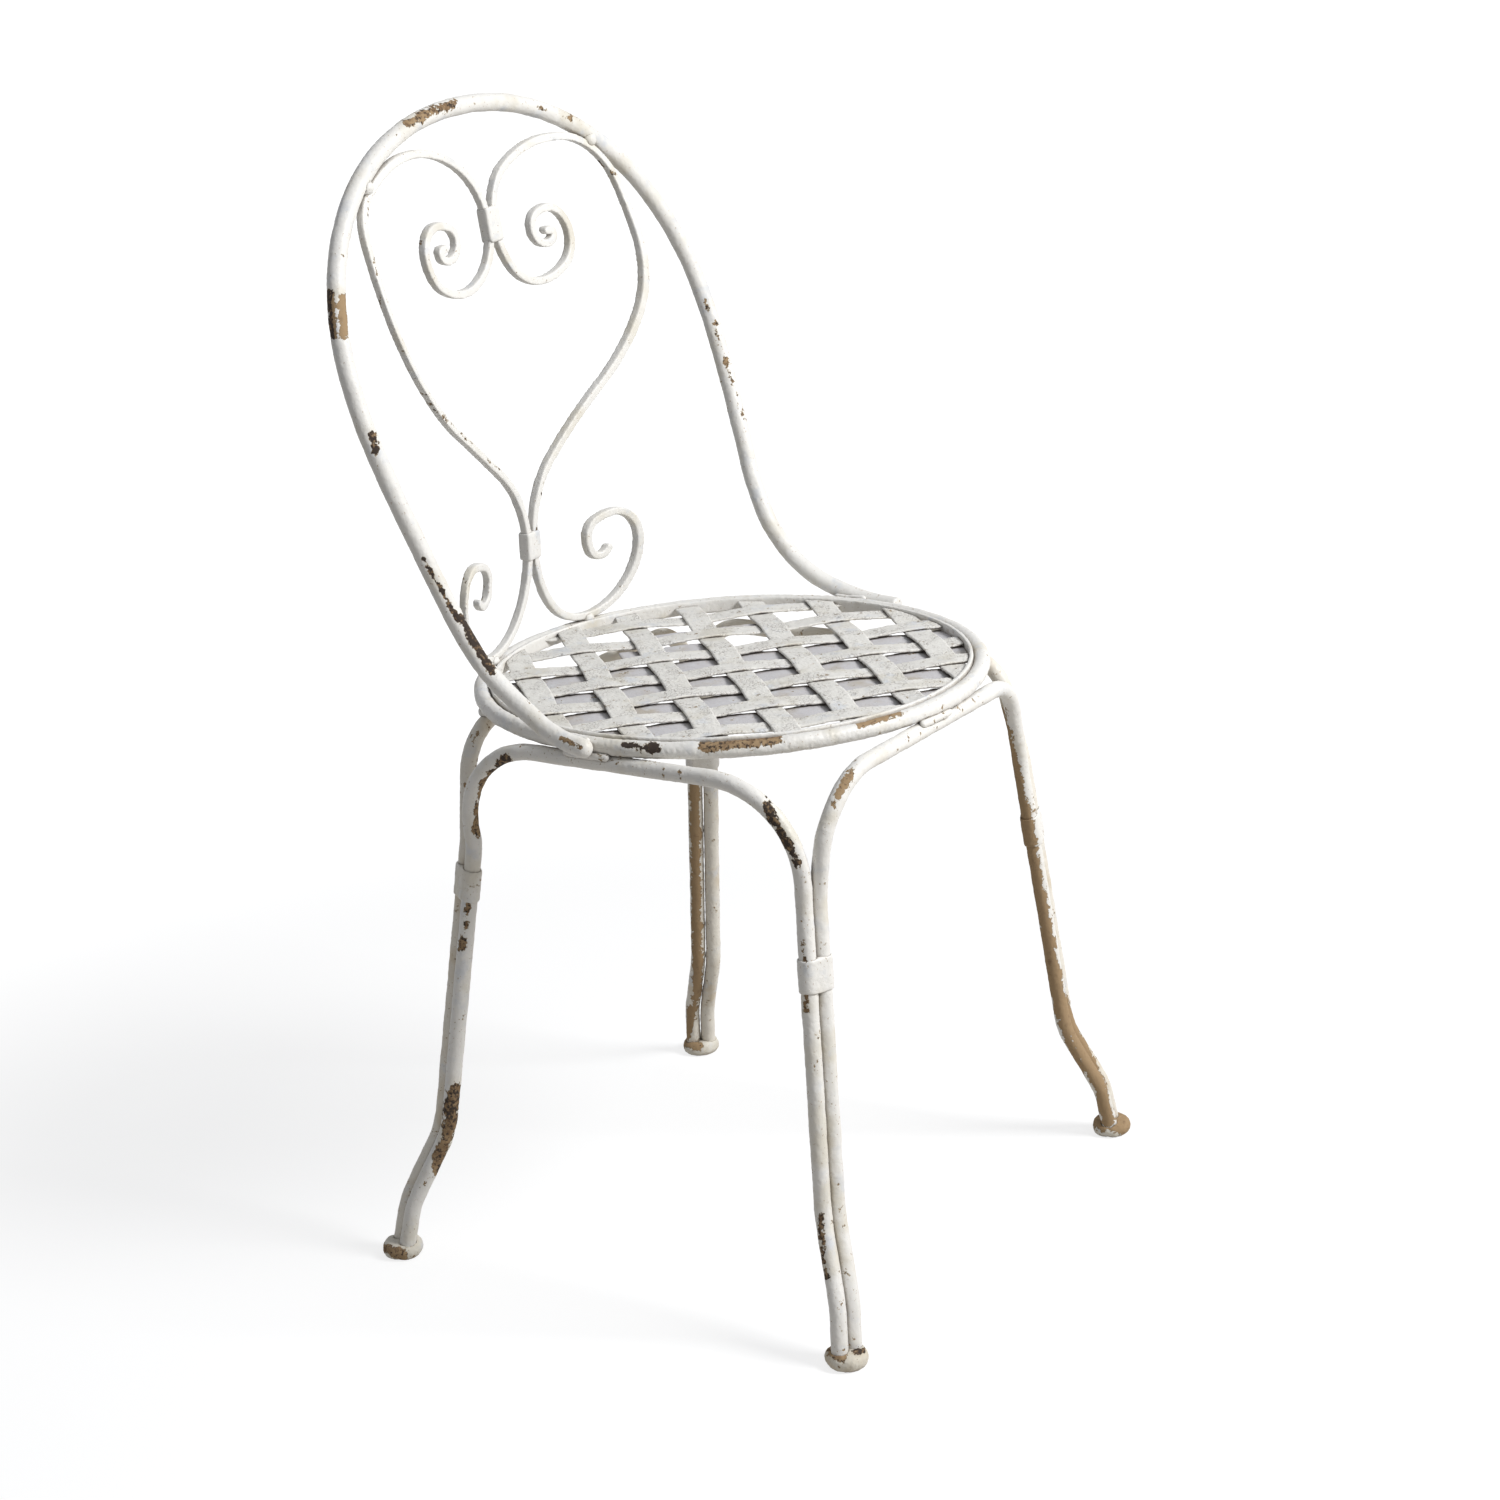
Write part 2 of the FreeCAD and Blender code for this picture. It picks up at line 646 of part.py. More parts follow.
def make_leg_collar(kick, shoulder, level, turn, rods):
    """Wrap a band round the two rods of a leg, square to its upper stretch."""
    share = (level - kick.z) / (shoulder.z - kick.z)
    middle = kick + (shoulder - kick) * share
    radius = FRAME_R + COLLAR_WALL
    flat = PAIR_OFFSET
    edges = [Part.LineSegment(Vec(-flat, -radius, 0), Vec(flat, -radius, 0)).toShape(),
             Part.Arc(Vec(flat, -radius, 0), Vec(flat + radius, 0, 0),
                      Vec(flat, radius, 0)).toShape(),
             Part.LineSegment(Vec(flat, radius, 0), Vec(-flat, radius, 0)).toShape(),
             Part.Arc(Vec(-flat, radius, 0), Vec(-flat - radius, 0, 0),
                      Vec(-flat, -radius, 0)).toShape()]
    band = Part.Face(Part.Wire(edges)).extrude(Vec(0, 0, COLLAR_HEIGHT))
    band.translate(Vec(0, 0, -COLLAR_HEIGHT / 2.0))
    band.rotate(Vec(0, 0, 0), Z_AXIS, turn)
    lean = FreeCAD.Rotation(Z_AXIS, shoulder - kick)
    band.rotate(Vec(0, 0, 0), lean.Axis, math.degrees(lean.Angle))
    band.translate(middle)
    return biggest(band.cut(rods))


# Welds

def bead_along(points, radius, neighbours):
    """Lay a round-ended weld run through the points, clear of its neighbours."""
    first_way = (points[1] - points[0]).normalize()
    last_way = (points[-1] - points[-2]).normalize()
    bead = round_bar(arc_wire(points, smooth_ways(points, first_way, last_way)), radius)
    for end in (points[0], points[-1]):
        bead = bead.fuse(Part.makeSphere(radius, end))
    for neighbour in neighbours:
        bead = biggest(bead.cut(neighbour))
    return bead


def groove_weld(ring_points, arch_points, outward, ring, arch):
    """Weld an arch to the ring where they touch, along the outer groove between them."""
    shift = outward * (FRAME_R * ARCH_WELD_SEAT)
    points = [(one + other) * 0.5 + shift for one, other in zip(ring_points, arch_points)]
    return bead_along(points, BEAD, [ring, arch])


def left_arch_weld(ring, arch):
    steps = (-ARCH_WELD / 2.0, 0.0, ARCH_WELD / 2.0)
    on_ring = [Vec(-math.sqrt(RING_RADIUS ** 2 - y ** 2), y, RING_HEIGHT) for y in steps]
    on_arch = [Vec(-RING_RADIUS, y, ARCH_HEIGHT) for y in steps]
    return groove_weld(on_ring, on_arch, Vec(-1, 0, 0), ring, arch)


def front_arch_weld(ring, arch):
    steps = [FRONT_TOUCH + along for along in (-ARCH_WELD / 2.0, 0.0, ARCH_WELD / 2.0)]
    on_ring = [Vec(x, -math.sqrt(RING_RADIUS ** 2 - x ** 2), RING_HEIGHT) for x in steps]
    on_arch = [front_run(x) for x in steps]
    return groove_weld(on_ring, on_arch, Vec(0, -1, 0), ring, arch)


def crossing_weld(x, y, ring, arch):
    """Weld an arch to the ring where it passes under it."""
    return spot_weld(Vec(x, y, (RING_HEIGHT + ARCH_HEIGHT) / 2.0), [ring, arch])


def hoop_weld(ring, hoop):
    """Weld the hoop's right side to the ring, in the groove on top."""
    reach = RING_RADIUS + FRAME_R
    z = RING_HEIGHT + FRAME_R * HOOP_WELD_SEAT
    points = []
    for y in (HOOP_WELD_FROM, (HOOP_WELD_FROM + HOOP_WELD_TO) / 2.0, HOOP_WELD_TO):
        points.append(Vec(math.sqrt(reach ** 2 - y ** 2), y, z))
    return bead_along(points, BEAD, [ring, hoop])


def spot_weld(place, neighbours):
    """Weld bars together at a place."""
    return biggest(Part.makeSphere(SPOT_WELD, place).cut(neighbours))


def lobe_weld(side, contact, neighbours):
    """Weld a lobe to the hoop, on the right side (1) or the left (-1)."""
    lobe_x, lobe_z, _ = contact_place(contact)
    hoop_x, hoop_z = crown_place(contact)
    place = Vec(side * (lobe_x + hoop_x) / 2.0, hoop_y(lobe_z), (lobe_z + hoop_z) / 2.0)
    return spot_weld(place, neighbours)


def both_sides(shape):
    return Part.makeCompound([shape, mirrored_x(shape)])


def add_back(pieces):
    """Add the hoop, the heart scrolls and their collars."""
    hoop = make_hoop()
    pieces["back_hoop"] = hoop
    right_scroll = make_scroll(RIGHT_CONTACT, RIGHT_LOBE_UP, RIGHT_CURL_DOWN)
    left_scroll = mirrored_x(make_scroll(LEFT_CONTACT, LEFT_LOBE_UP, 0.0))
    scrolls = [right_scroll, left_scroll]
    pieces["heart_scroll_right"] = right_scroll
    pieces["heart_scroll_left"] = left_scroll
    neck_z = neck_level()
    waist_z = RING_HEIGHT + WAIST_ABOVE_RING
    pieces["upper_scroll_collar"] = make_scroll_collar(neck_z, UPPER_COLLAR_HEIGHT, scrolls)
    pieces["lower_scroll_collar"] = make_scroll_collar(waist_z, LOWER_COLLAR_HEIGHT, scrolls)
    right_weld = lobe_weld(1, RIGHT_CONTACT, [right_scroll, hoop])
    left_weld = lobe_weld(-1, LEFT_CONTACT, [left_scroll, hoop])
    pieces["heart_to_hoop_welds"] = Part.makeCompound([right_weld, left_weld])


def add_seat(pieces):
    """Add the ring, its rim and the woven straps."""
    pieces["seat_ring"] = make_ring()
    pieces["seat_rim"] = make_rim()
    for index in range(CROSS_COUNT):
        pieces["cross_strap_%d" % (index + 1)] = make_cross_strap(index)
    for index in range(LENGTH_COUNT):
        pieces["length_strap_%d" % (index + 1)] = make_length_strap(index)
    whole = LENGTH_PITCH - 2.0 * STIFFENER_FROM
    for index in WHOLE_STIFFENERS:
        pieces["stiffener_%d" % (index + 1)] = make_stiffener(index, STIFFENER_FROM, whole)
    beside = STRAP_WIDTH / 2.0 + NARROW_SIDE_GAP
    pieces["stiffener_%d" % (BROKEN_STIFFENER + 1)] = make_stiffener(
        BROKEN_STIFFENER, beside, BROKEN_WIDTH, BROKEN_FROM, BROKEN_TO)
    pieces["stiffener_%d" % (NARROW_STIFFENER + 1)] = make_stiffener(
        NARROW_STIFFENER, beside, NARROW_WIDTH, NARROW_FROM, NARROW_TO)


def add_legs(pieces):
    """Add the four arches, whose ends are the legs, with their collars and feet."""
    left = make_side_arch(-1, -RING_RADIUS, LEFT_TURN_FRONT, LEFT_TURN_BACK, LEFT_BEND)
    right = make_side_arch(1, RIGHT_LINE, RIGHT_TURN_FRONT, RIGHT_TURN_BACK, RIGHT_BEND)
    sides = {1: right, -1: left}
    across = {1: make_back_arch(), -1: make_front_arch()}
    pieces["right_arch"] = sides[1]
    pieces["left_arch"] = sides[-1]
    pieces["back_arch"] = across[1]
    pieces["front_arch"] = across[-1]
    rows = ((-1, "front", FRONT_COLLAR_LEVEL), (1, "back", BACK_COLLAR_LEVEL))
    for back, row, level in rows:
        for hand, side in ((1, "right"), (-1, "left")):
            rods = [sides[hand], across[back]]
            base, _, kick, shoulder = leg_corners(hand, back, 0)
            turn = pair_turn(hand, back)
            collar = make_leg_collar(kick, shoulder, level, turn, rods)
            pieces["leg_collar_%s_%s" % (row, side)] = collar
            pieces["foot_%s_%s" % (row, side)] = make_foot(base.x, base.y, rods)


def add_seat_welds(pieces):
    """Add the welds that hold the arches, the hoop and the scrolls to the ring."""
    ring = pieces["seat_ring"]
    pieces["left_arch_weld"] = left_arch_weld(ring, pieces["left_arch"])
    pieces["front_arch_weld"] = front_arch_weld(ring, pieces["front_arch"])
    y = -math.sqrt(RING_RADIUS ** 2 - RIGHT_LINE ** 2)
    pieces["right_arch_weld"] = crossing_weld(RIGHT_LINE, y, ring, pieces["right_arch"])
    x = -math.sqrt(RING_RADIUS ** 2 - BACK_LINE ** 2)
    pieces["back_arch_weld"] = crossing_weld(x, BACK_LINE, ring, pieces["back_arch"])
    pieces["hoop_welds"] = both_sides(hoop_weld(ring, pieces["back_hoop"]))
    toe_x = SCROLL_X + TOE_OUT
    toe_y = math.sqrt(RING_RADIUS ** 2 - toe_x ** 2)
    touch = Vec(toe_x, toe_y, RING_HEIGHT + FRAME_R)
    weld = spot_weld(touch, [ring, pieces["heart_scroll_right"]])
    pieces["scroll_foot_welds"] = both_sides(weld)


def build():
    """Return every piece of the chair by its name."""
    pieces = {}
    add_back(pieces)
    add_seat(pieces)
    add_legs(pieces)
    add_seat_welds(pieces)
    return pieces


def centred(pieces):
    """Move the pieces so that the origin is under the middle of their common box."""
    box = Part.makeCompound(list(pieces.values())).optimalBoundingBox(False)
    move = Vec(-box.Center.x, -box.Center.y, -box.ZMin)
    for shape in pieces.values():
        shape.translate(move)
    return pieces


def main():
    os.makedirs("parts", exist_ok=True)
    for name, shape in centred(build()).items():
        shape.exportStep(os.path.join("parts", name + ".step"))
        box = shape.BoundBox
        print("%-22s solids %d valid %s volume %9.1f  z %6.1f to %6.1f" % (
            name, len(shape.Solids), shape.isValid(), shape.Volume, box.ZMin, box.ZMax))


main()
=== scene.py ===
"""A welded iron garden chair in old ivory enamel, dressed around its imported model."""

import logging
import math
from dataclasses import dataclass
from enum import Enum

import bmesh
import bpy
import numpy as np
from mathutils import Matrix, Vector


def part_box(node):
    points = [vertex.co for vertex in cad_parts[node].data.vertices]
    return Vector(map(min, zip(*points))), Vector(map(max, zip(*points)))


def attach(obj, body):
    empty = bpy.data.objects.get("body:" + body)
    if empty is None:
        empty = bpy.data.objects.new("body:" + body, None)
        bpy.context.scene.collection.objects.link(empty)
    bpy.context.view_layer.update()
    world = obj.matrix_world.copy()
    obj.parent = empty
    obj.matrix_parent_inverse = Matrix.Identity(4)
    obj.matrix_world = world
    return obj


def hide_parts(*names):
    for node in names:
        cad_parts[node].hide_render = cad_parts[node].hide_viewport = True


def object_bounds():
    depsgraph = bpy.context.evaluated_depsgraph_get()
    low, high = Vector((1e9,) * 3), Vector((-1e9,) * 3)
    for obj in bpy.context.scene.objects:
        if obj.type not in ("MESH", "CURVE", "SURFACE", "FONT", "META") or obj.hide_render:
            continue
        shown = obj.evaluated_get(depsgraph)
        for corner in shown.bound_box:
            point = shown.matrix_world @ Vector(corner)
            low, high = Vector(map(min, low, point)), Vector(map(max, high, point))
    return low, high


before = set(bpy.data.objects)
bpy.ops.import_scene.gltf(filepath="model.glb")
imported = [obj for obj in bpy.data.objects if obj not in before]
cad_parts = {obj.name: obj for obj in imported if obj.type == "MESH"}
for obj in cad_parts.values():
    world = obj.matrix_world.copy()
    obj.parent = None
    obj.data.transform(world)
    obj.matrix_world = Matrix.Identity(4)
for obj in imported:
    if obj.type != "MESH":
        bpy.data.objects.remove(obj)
CAD_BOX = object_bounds()

LOG = logging.getLogger("garden_chair")
MM = 0.001
BODY = "root"
WEAR = "wear"               # vertex attribute: how worn the paint is, nearly bare at 1
SOOT = "soot"               # vertex attribute: how dark the bare iron is, pale under 0
WORN_DEPTH = 0.4            # mm that fully worn paint lies lower
JOIN_WITHIN = 1e-6          # m, corners of loose triangles nearer than this are one
PHOTO_SIDE = 1500.0         # pixels of the photograph's frame
WHITE = (1.0, 1.0, 1.0, 1.0)
# The curve from sRGB to linear light: straight up to the knee, then a power.
SRGB_KNEE = 0.04045
SRGB_SLOPE = 12.92
SRGB_LIFT = 0.055
SRGB_POWER = 2.4
# The numbers of a Mix node's sockets when it mixes colours.
MIX_SHARE, MIX_FIRST, MIX_SECOND, MIX_RESULT = 0, 6, 7, 2


class Slot(Enum):
    """The chair's material slots."""

    FRAME = "frame_enamel"
    STRAP = "strap_enamel"
    FOOT = "foot_enamel"


def linear(hex_colour: str) -> tuple[float, float, float, float]:
    """Turn an sRGB hex colour into linear RGBA.

    Args:
        hex_colour: six hex digits after a #.

    Returns:
        The colour with an alpha of 1.
    """
    parts = [int(hex_colour[start:start + 2], 16) / 255.0 for start in (1, 3, 5)]
    red, green, blue = (part / SRGB_SLOPE if part <= SRGB_KNEE
                        else ((part + SRGB_LIFT) / (1.0 + SRGB_LIFT)) ** SRGB_POWER
                        for part in parts)
    return (red, green, blue, 1.0)


def add_node(tree: bpy.types.NodeTree, kind: str, settings: dict | None = None,
             links: dict | None = None) -> bpy.types.Node:
    """Add a shader node with its settings and links.

    Args:
        tree: the material's or world's node tree.
        kind: Blender's name of the node.
        settings: properties by name, or input values by name or number.
        links: output sockets by the name or number of the input they feed.

    Returns:
        The new node.
    """
    made = tree.nodes.new(kind)
    for key, value in (settings or {}).items():
        if isinstance(key, str) and hasattr(made, key):
            setattr(made, key, value)
        else:
            made.inputs[key].default_value = value
    for key, source in (links or {}).items():
        tree.links.new(source, made.inputs[key])
    return made


class PatternMaker:
    """Adds the patterns that the enamel is made of to one material's node tree."""

    def __init__(self, name: str) -> None:
        """Start an empty material with its object coordinates.

        Args:
            name: the material's name.
        """
        self.material = bpy.data.materials.new(name)
        self.material.use_nodes = True
        self.tree = self.material.node_tree
        self.tree.nodes.clear()
        place = add_node(self.tree, "ShaderNodeTexCoord")
        self.place = place.outputs["Object"]

    def grain(self, size: float, detail: float = 4.0, rough: float = 0.6) -> bpy.types.NodeSocket:
        """Give a cloudy pattern.

        Args:
            size: how large its patches are, in mm.
            detail: how many finer steps it holds.
            rough: how strong those are.

        Returns:
            The pattern's value, around 0.5.
        """
        settings = {"Scale": 1.0 / (size * MM), "Detail": detail, "Roughness": rough}
        made = add_node(self.tree, "ShaderNodeTexNoise", settings, {"Vector": self.place})
        return made.outputs["Fac"]

    def cracks(self, size: float) -> bpy.types.NodeSocket:
        """Give a net of cracks.

        Args:
            size: how large its fields are, in mm.

        Returns:
            The distance to the nearest crack, as a share of a field.
        """
        settings = {"feature": "DISTANCE_TO_EDGE", "Scale": 1.0 / (size * MM)}
        made = add_node(self.tree, "ShaderNodeTexVoronoi", settings, {"Vector": self.place})
        return made.outputs["Distance"]

    def maths(self, operation: str, *values: object) -> bpy.types.NodeSocket:
        """Combine values.

        Args:
            operation: ADD, MULTIPLY and so on.
            values: sockets or numbers, in the node's order.

        Returns:
            The result.
        """
        settings = {"operation": operation}
        links = {}
        for number, value in enumerate(values):
            kept = links if isinstance(value, bpy.types.NodeSocket) else settings
            kept[number] = value
        return add_node(self.tree, "ShaderNodeMath", settings, links).outputs[0]

    def step(self, value: bpy.types.NodeSocket, low: float, high: float) -> bpy.types.NodeSocket:
        """Turn a value into a soft step.

        Args:
            value: the value.
            low: up to where the step is 0.
            high: from where it is 1.

        Returns:
            The step.
        """
        settings = {"interpolation_type": "SMOOTHSTEP", "From Min": low, "From Max": high}
        made = add_node(self.tree, "ShaderNodeMapRange", settings, {"Value": value})
        return made.outputs["Result"]

    def blend(self, share: object, one: object, other: object) -> bpy.types.NodeSocket:
        """Mix two colours.

        Args:
            share: how much of the second shows, a socket or a number.
            one: the first colour, a socket or a hex colour.
            other: the second colour, a socket or a hex colour.

        Returns:
            The mixed colour.
        """
        settings = {"data_type": "RGBA"}
        links = {}
        for number, value in ((MIX_SHARE, share), (MIX_FIRST, one), (MIX_SECOND, other)):
            if isinstance(value, bpy.types.NodeSocket):
                links[number] = value
            else:
                settings[number] = linear(value) if isinstance(value, str) else value
        return add_node(self.tree, "ShaderNodeMix", settings, links).outputs[MIX_RESULT]

    def crevice(self, reach: float) -> bpy.types.NodeSocket:
        """Give 1 on open surfaces and less in corners nearer than reach mm to something."""
        settings = {"samples": 6, "Distance": reach * MM}
        return add_node(self.tree, "ShaderNodeAmbientOcclusion", settings).outputs["AO"]

    def marked(self, name: str) -> bpy.types.NodeSocket:
        """Give one of the piece's own vertex attributes."""
        settings = {"attribute_type": "GEOMETRY", "attribute_name": name}
        return add_node(self.tree, "ShaderNodeAttribute", settings).outputs["Fac"]

    def relief(self, height: bpy.types.NodeSocket, depth: float) -> bpy.types.NodeSocket:
        """Give a normal for a relief of depth mm."""
        settings = {"Strength": 1.0, "Distance": depth * MM}
        return add_node(self.tree, "ShaderNodeBump", settings, {"Height": height}).outputs[0]

    def finish(self, settings: dict, links: dict) -> bpy.types.Material:
        """Add the shader.

        Args:
            settings: its plain values.
            links: what feeds its other inputs.

        Returns:
            The material.
        """
        shader = add_node(self.tree, "ShaderNodeBsdfPrincipled", settings, links)
        add_node(self.tree, "ShaderNodeOutputMaterial", None, {"Surface": shader.outputs[0]})
        return self.material


@dataclass(frozen=True)
class OilEnamel:
    """Many brushed coats of ivory oil enamel on iron, gritty, flaked and rusted where bare.

    The enamel gives the eye a dull sheen and soft lumps, its chips have a stepped pale rim,
    and the bare iron is matt, from tan rust to nearly black.
    """

    name: str
    top: str = "#EFEDE8"          # the last coat
    aged: str = "#E2DDD0"         # where it has yellowed
    cool: str = "#DCDEE0"         # where it is thin and greyish
    old_coat: str = "#BFB29C"     # the coats under it, at the rim of a chip
    # dark brown of the dirt in cracks, and of dirt with painted shade in crevices
    grime_and_shade: str = "#6B5B49"
    rust_pale: str = "#A78D6C"
    rust: str = "#7E654A"
    rust_dark: str = "#3A3029"
    yellow_patch: float = 45.0    # mm, how large the yellowed places are
    yellowing: tuple[float, float] = (0.5, 0.7)       # pattern values, from none to full
    thin_patch: float = 24.0      # mm
    thinning: tuple[float, float] = (0.55, 0.75)
    speck: float = 2.4            # mm
    specks_from: tuple[float, float] = (0.66, 0.72)
    speck_share: float = 0.6
    chip: float = 11.0            # mm, how large the flaked places are
    flake: float = 2.8            # mm, the ragged edge of the flakes
    flake_share: float = 0.34     # how much of the pattern they are
    bare_from: float = 0.68       # pattern value from which the unworn paint is gone
    bare_edge: float = 0.004      # half the width of that edge, in pattern values
    wear_gain: float = 0.33       # how far a wear of 1 lowers bare_from
    rim: tuple[float, float] = (-0.028, -0.012)       # margins between which old coats show
    grit: float = 1.8             # mm; real grit is half that, too fine to show
    grit_depth: float = 0.26      # mm
    grit_tops: tuple[float, float] = (0.4, 0.7)
    grit_dull: float = 0.12       # how much rougher those tops are
    coat_depth: float = 0.45      # mm, the step at a chip's rim
    rim_dark: float = 0.45        # how dark the iron is just inside that rim
    rim_dark_to: float = 0.02     # the margin at which that ends
    rust_patch: float = 9.0       # mm, how large the paler and deeper rust is
    rust_change: tuple[float, float] = (0.3, 0.55)
    pit: float = 3.0              # mm, how large the dark pits are
    pits_from: tuple[float, float] = (0.5, 0.66)
    soot_tone: float = 0.2        # how far soot takes the pale rust away
    soot_pits: float = 0.22       # how far soot brings the pits on
    crazing: float = 0.0          # how dark the net of fine cracks is
    craze_field: float = 3.0      # mm
    craze_width: float = 0.09     # share of a field
    craze_patch: float = 16.0     # mm, how large the crazed places are
    crazed_from: tuple[float, float] = (0.45, 0.6)
    # Corners and crevices near other parts are darkened: partly dirt, partly painted shade.
    crevice_reach: float = 6.0    # mm
    crevice_dirt_and_shade: float = 0.55
    crevice_open: tuple[float, float] = (0.15, 0.75)  # openness, from all dirt to none
    sheen: float = 0.44           # roughness of sound enamel
    rust_rough: float = 0.9

    def make(self) -> bpy.types.Material:
        """Make the material.

        Returns:
            The material.
        """
        kit = PatternMaker(self.name)
        margin = self.bare_margin(kit)
        bare = kit.step(margin, -self.bare_edge, self.bare_edge)
        paint = self.paint_colour(kit, margin)
        iron = self.rust_colour(kit, margin)
        colour = kit.blend(bare, paint, iron)
        grit = kit.grain(self.grit, detail=3.0, rough=0.65)
        rough = kit.maths("MULTIPLY_ADD", bare, self.rust_rough - self.sheen, self.sheen)
        dull = kit.maths("MULTIPLY", kit.step(grit, *self.grit_tops), self.grit_dull)
        rough = kit.maths("ADD", rough, dull)
        step = kit.maths("MULTIPLY", bare, -self.coat_depth / self.grit_depth)
        height = kit.maths("ADD", grit, step)
        normal = kit.relief(height, self.grit_depth)
        links = {"Base Color": colour, "Roughness": rough, "Normal": normal}
        return kit.finish({"Metallic": 0.0, "IOR": 1.5}, links)

    def bare_margin(self, kit: PatternMaker) -> bpy.types.NodeSocket:
        """Work out where the paint is gone, from the flaking pattern and the wear.

        Args:
            kit: what adds the patterns.

        Returns:
            How far the pattern is past the value at which the paint is gone.
        """
        patches = kit.grain(self.chip, detail=5.0, rough=0.62)
        patches = kit.maths("MULTIPLY", patches, 1.0 - self.flake_share)
        flakes = kit.grain(self.flake, detail=3.0)
        flakes = kit.maths("MULTIPLY", flakes, self.flake_share)
        pattern = kit.maths("ADD", patches, flakes)
        wear = kit.maths("MULTIPLY", kit.marked(WEAR), self.wear_gain)
        return kit.maths("SUBTRACT", kit.maths("ADD", pattern, wear), self.bare_from)

    def paint_colour(self, kit: PatternMaker,
                     margin: bpy.types.NodeSocket) -> bpy.types.NodeSocket:
        """Give the paint's colour: yellowed and thin places, specks, cracks, rims, and dirt with
        painted shade in crevices.

        Args:
            kit: what adds the patterns.
            margin: how far the flaking pattern is past the bare value.

        Returns:
            The colour.
        """
        yellow = kit.step(kit.grain(self.yellow_patch, detail=3.0), *self.yellowing)
        colour = kit.blend(yellow, self.top, self.aged)
        thin = kit.step(kit.grain(self.thin_patch, detail=3.0), *self.thinning)
        colour = kit.blend(thin, colour, self.cool)
        specks = kit.step(kit.grain(self.speck, detail=2.0), *self.specks_from)
        specks = kit.maths("MULTIPLY", specks, self.speck_share)
        colour = kit.blend(specks, colour, self.rust_pale)
        if self.crazing:
            field = kit.step(kit.cracks(self.craze_field), 0.0, self.craze_width)
            crack = kit.maths("SUBTRACT", 1.0, field)
            crazed = kit.step(kit.grain(self.craze_patch, detail=2.0), *self.crazed_from)
            patchy = kit.maths("MULTIPLY", crack, crazed)
            colour = kit.blend(kit.maths("MULTIPLY", patchy, self.crazing), colour, self.grime_and_shade)
        colour = kit.blend(kit.step(margin, *self.rim), colour, self.old_coat)
        # Painted shade with dirt: the colour turns dark brown in corners and crevices near other
        # parts.
        opened = kit.step(kit.crevice(self.crevice_reach), *self.crevice_open)
        shut = kit.maths("SUBTRACT", 1.0, opened)
        return kit.blend(kit.maths("MULTIPLY", shut, self.crevice_dirt_and_shade), colour, self.grime_and_shade)

    def rust_colour(self, kit: PatternMaker,
                    margin: bpy.types.NodeSocket) -> bpy.types.NodeSocket:
        """Give the bare iron's colour: pale and deep rust, dark pits and dark rims.

        Args:
            kit: what adds the patterns.
            margin: how far the flaking pattern is past the bare value.

        Returns:
            The colour.
        """
        soot = kit.marked(SOOT)
        darker = kit.maths("MULTIPLY", soot, self.soot_tone)
        tone = kit.maths("SUBTRACT", kit.grain(self.rust_patch), darker)
        colour = kit.blend(kit.step(tone, *self.rust_change), self.rust, self.rust_pale)
        deeper = kit.maths("MULTIPLY", soot, self.soot_pits)
        pits = kit.maths("ADD", kit.grain(self.pit), deeper)
        colour = kit.blend(kit.step(pits, *self.pits_from), colour, self.rust_dark)
        rim = kit.maths("SUBTRACT", 1.0, kit.step(margin, 0.0, self.rim_dark_to))
        return kit.blend(kit.maths("MULTIPLY", rim, self.rim_dark), colour, self.rust_dark)


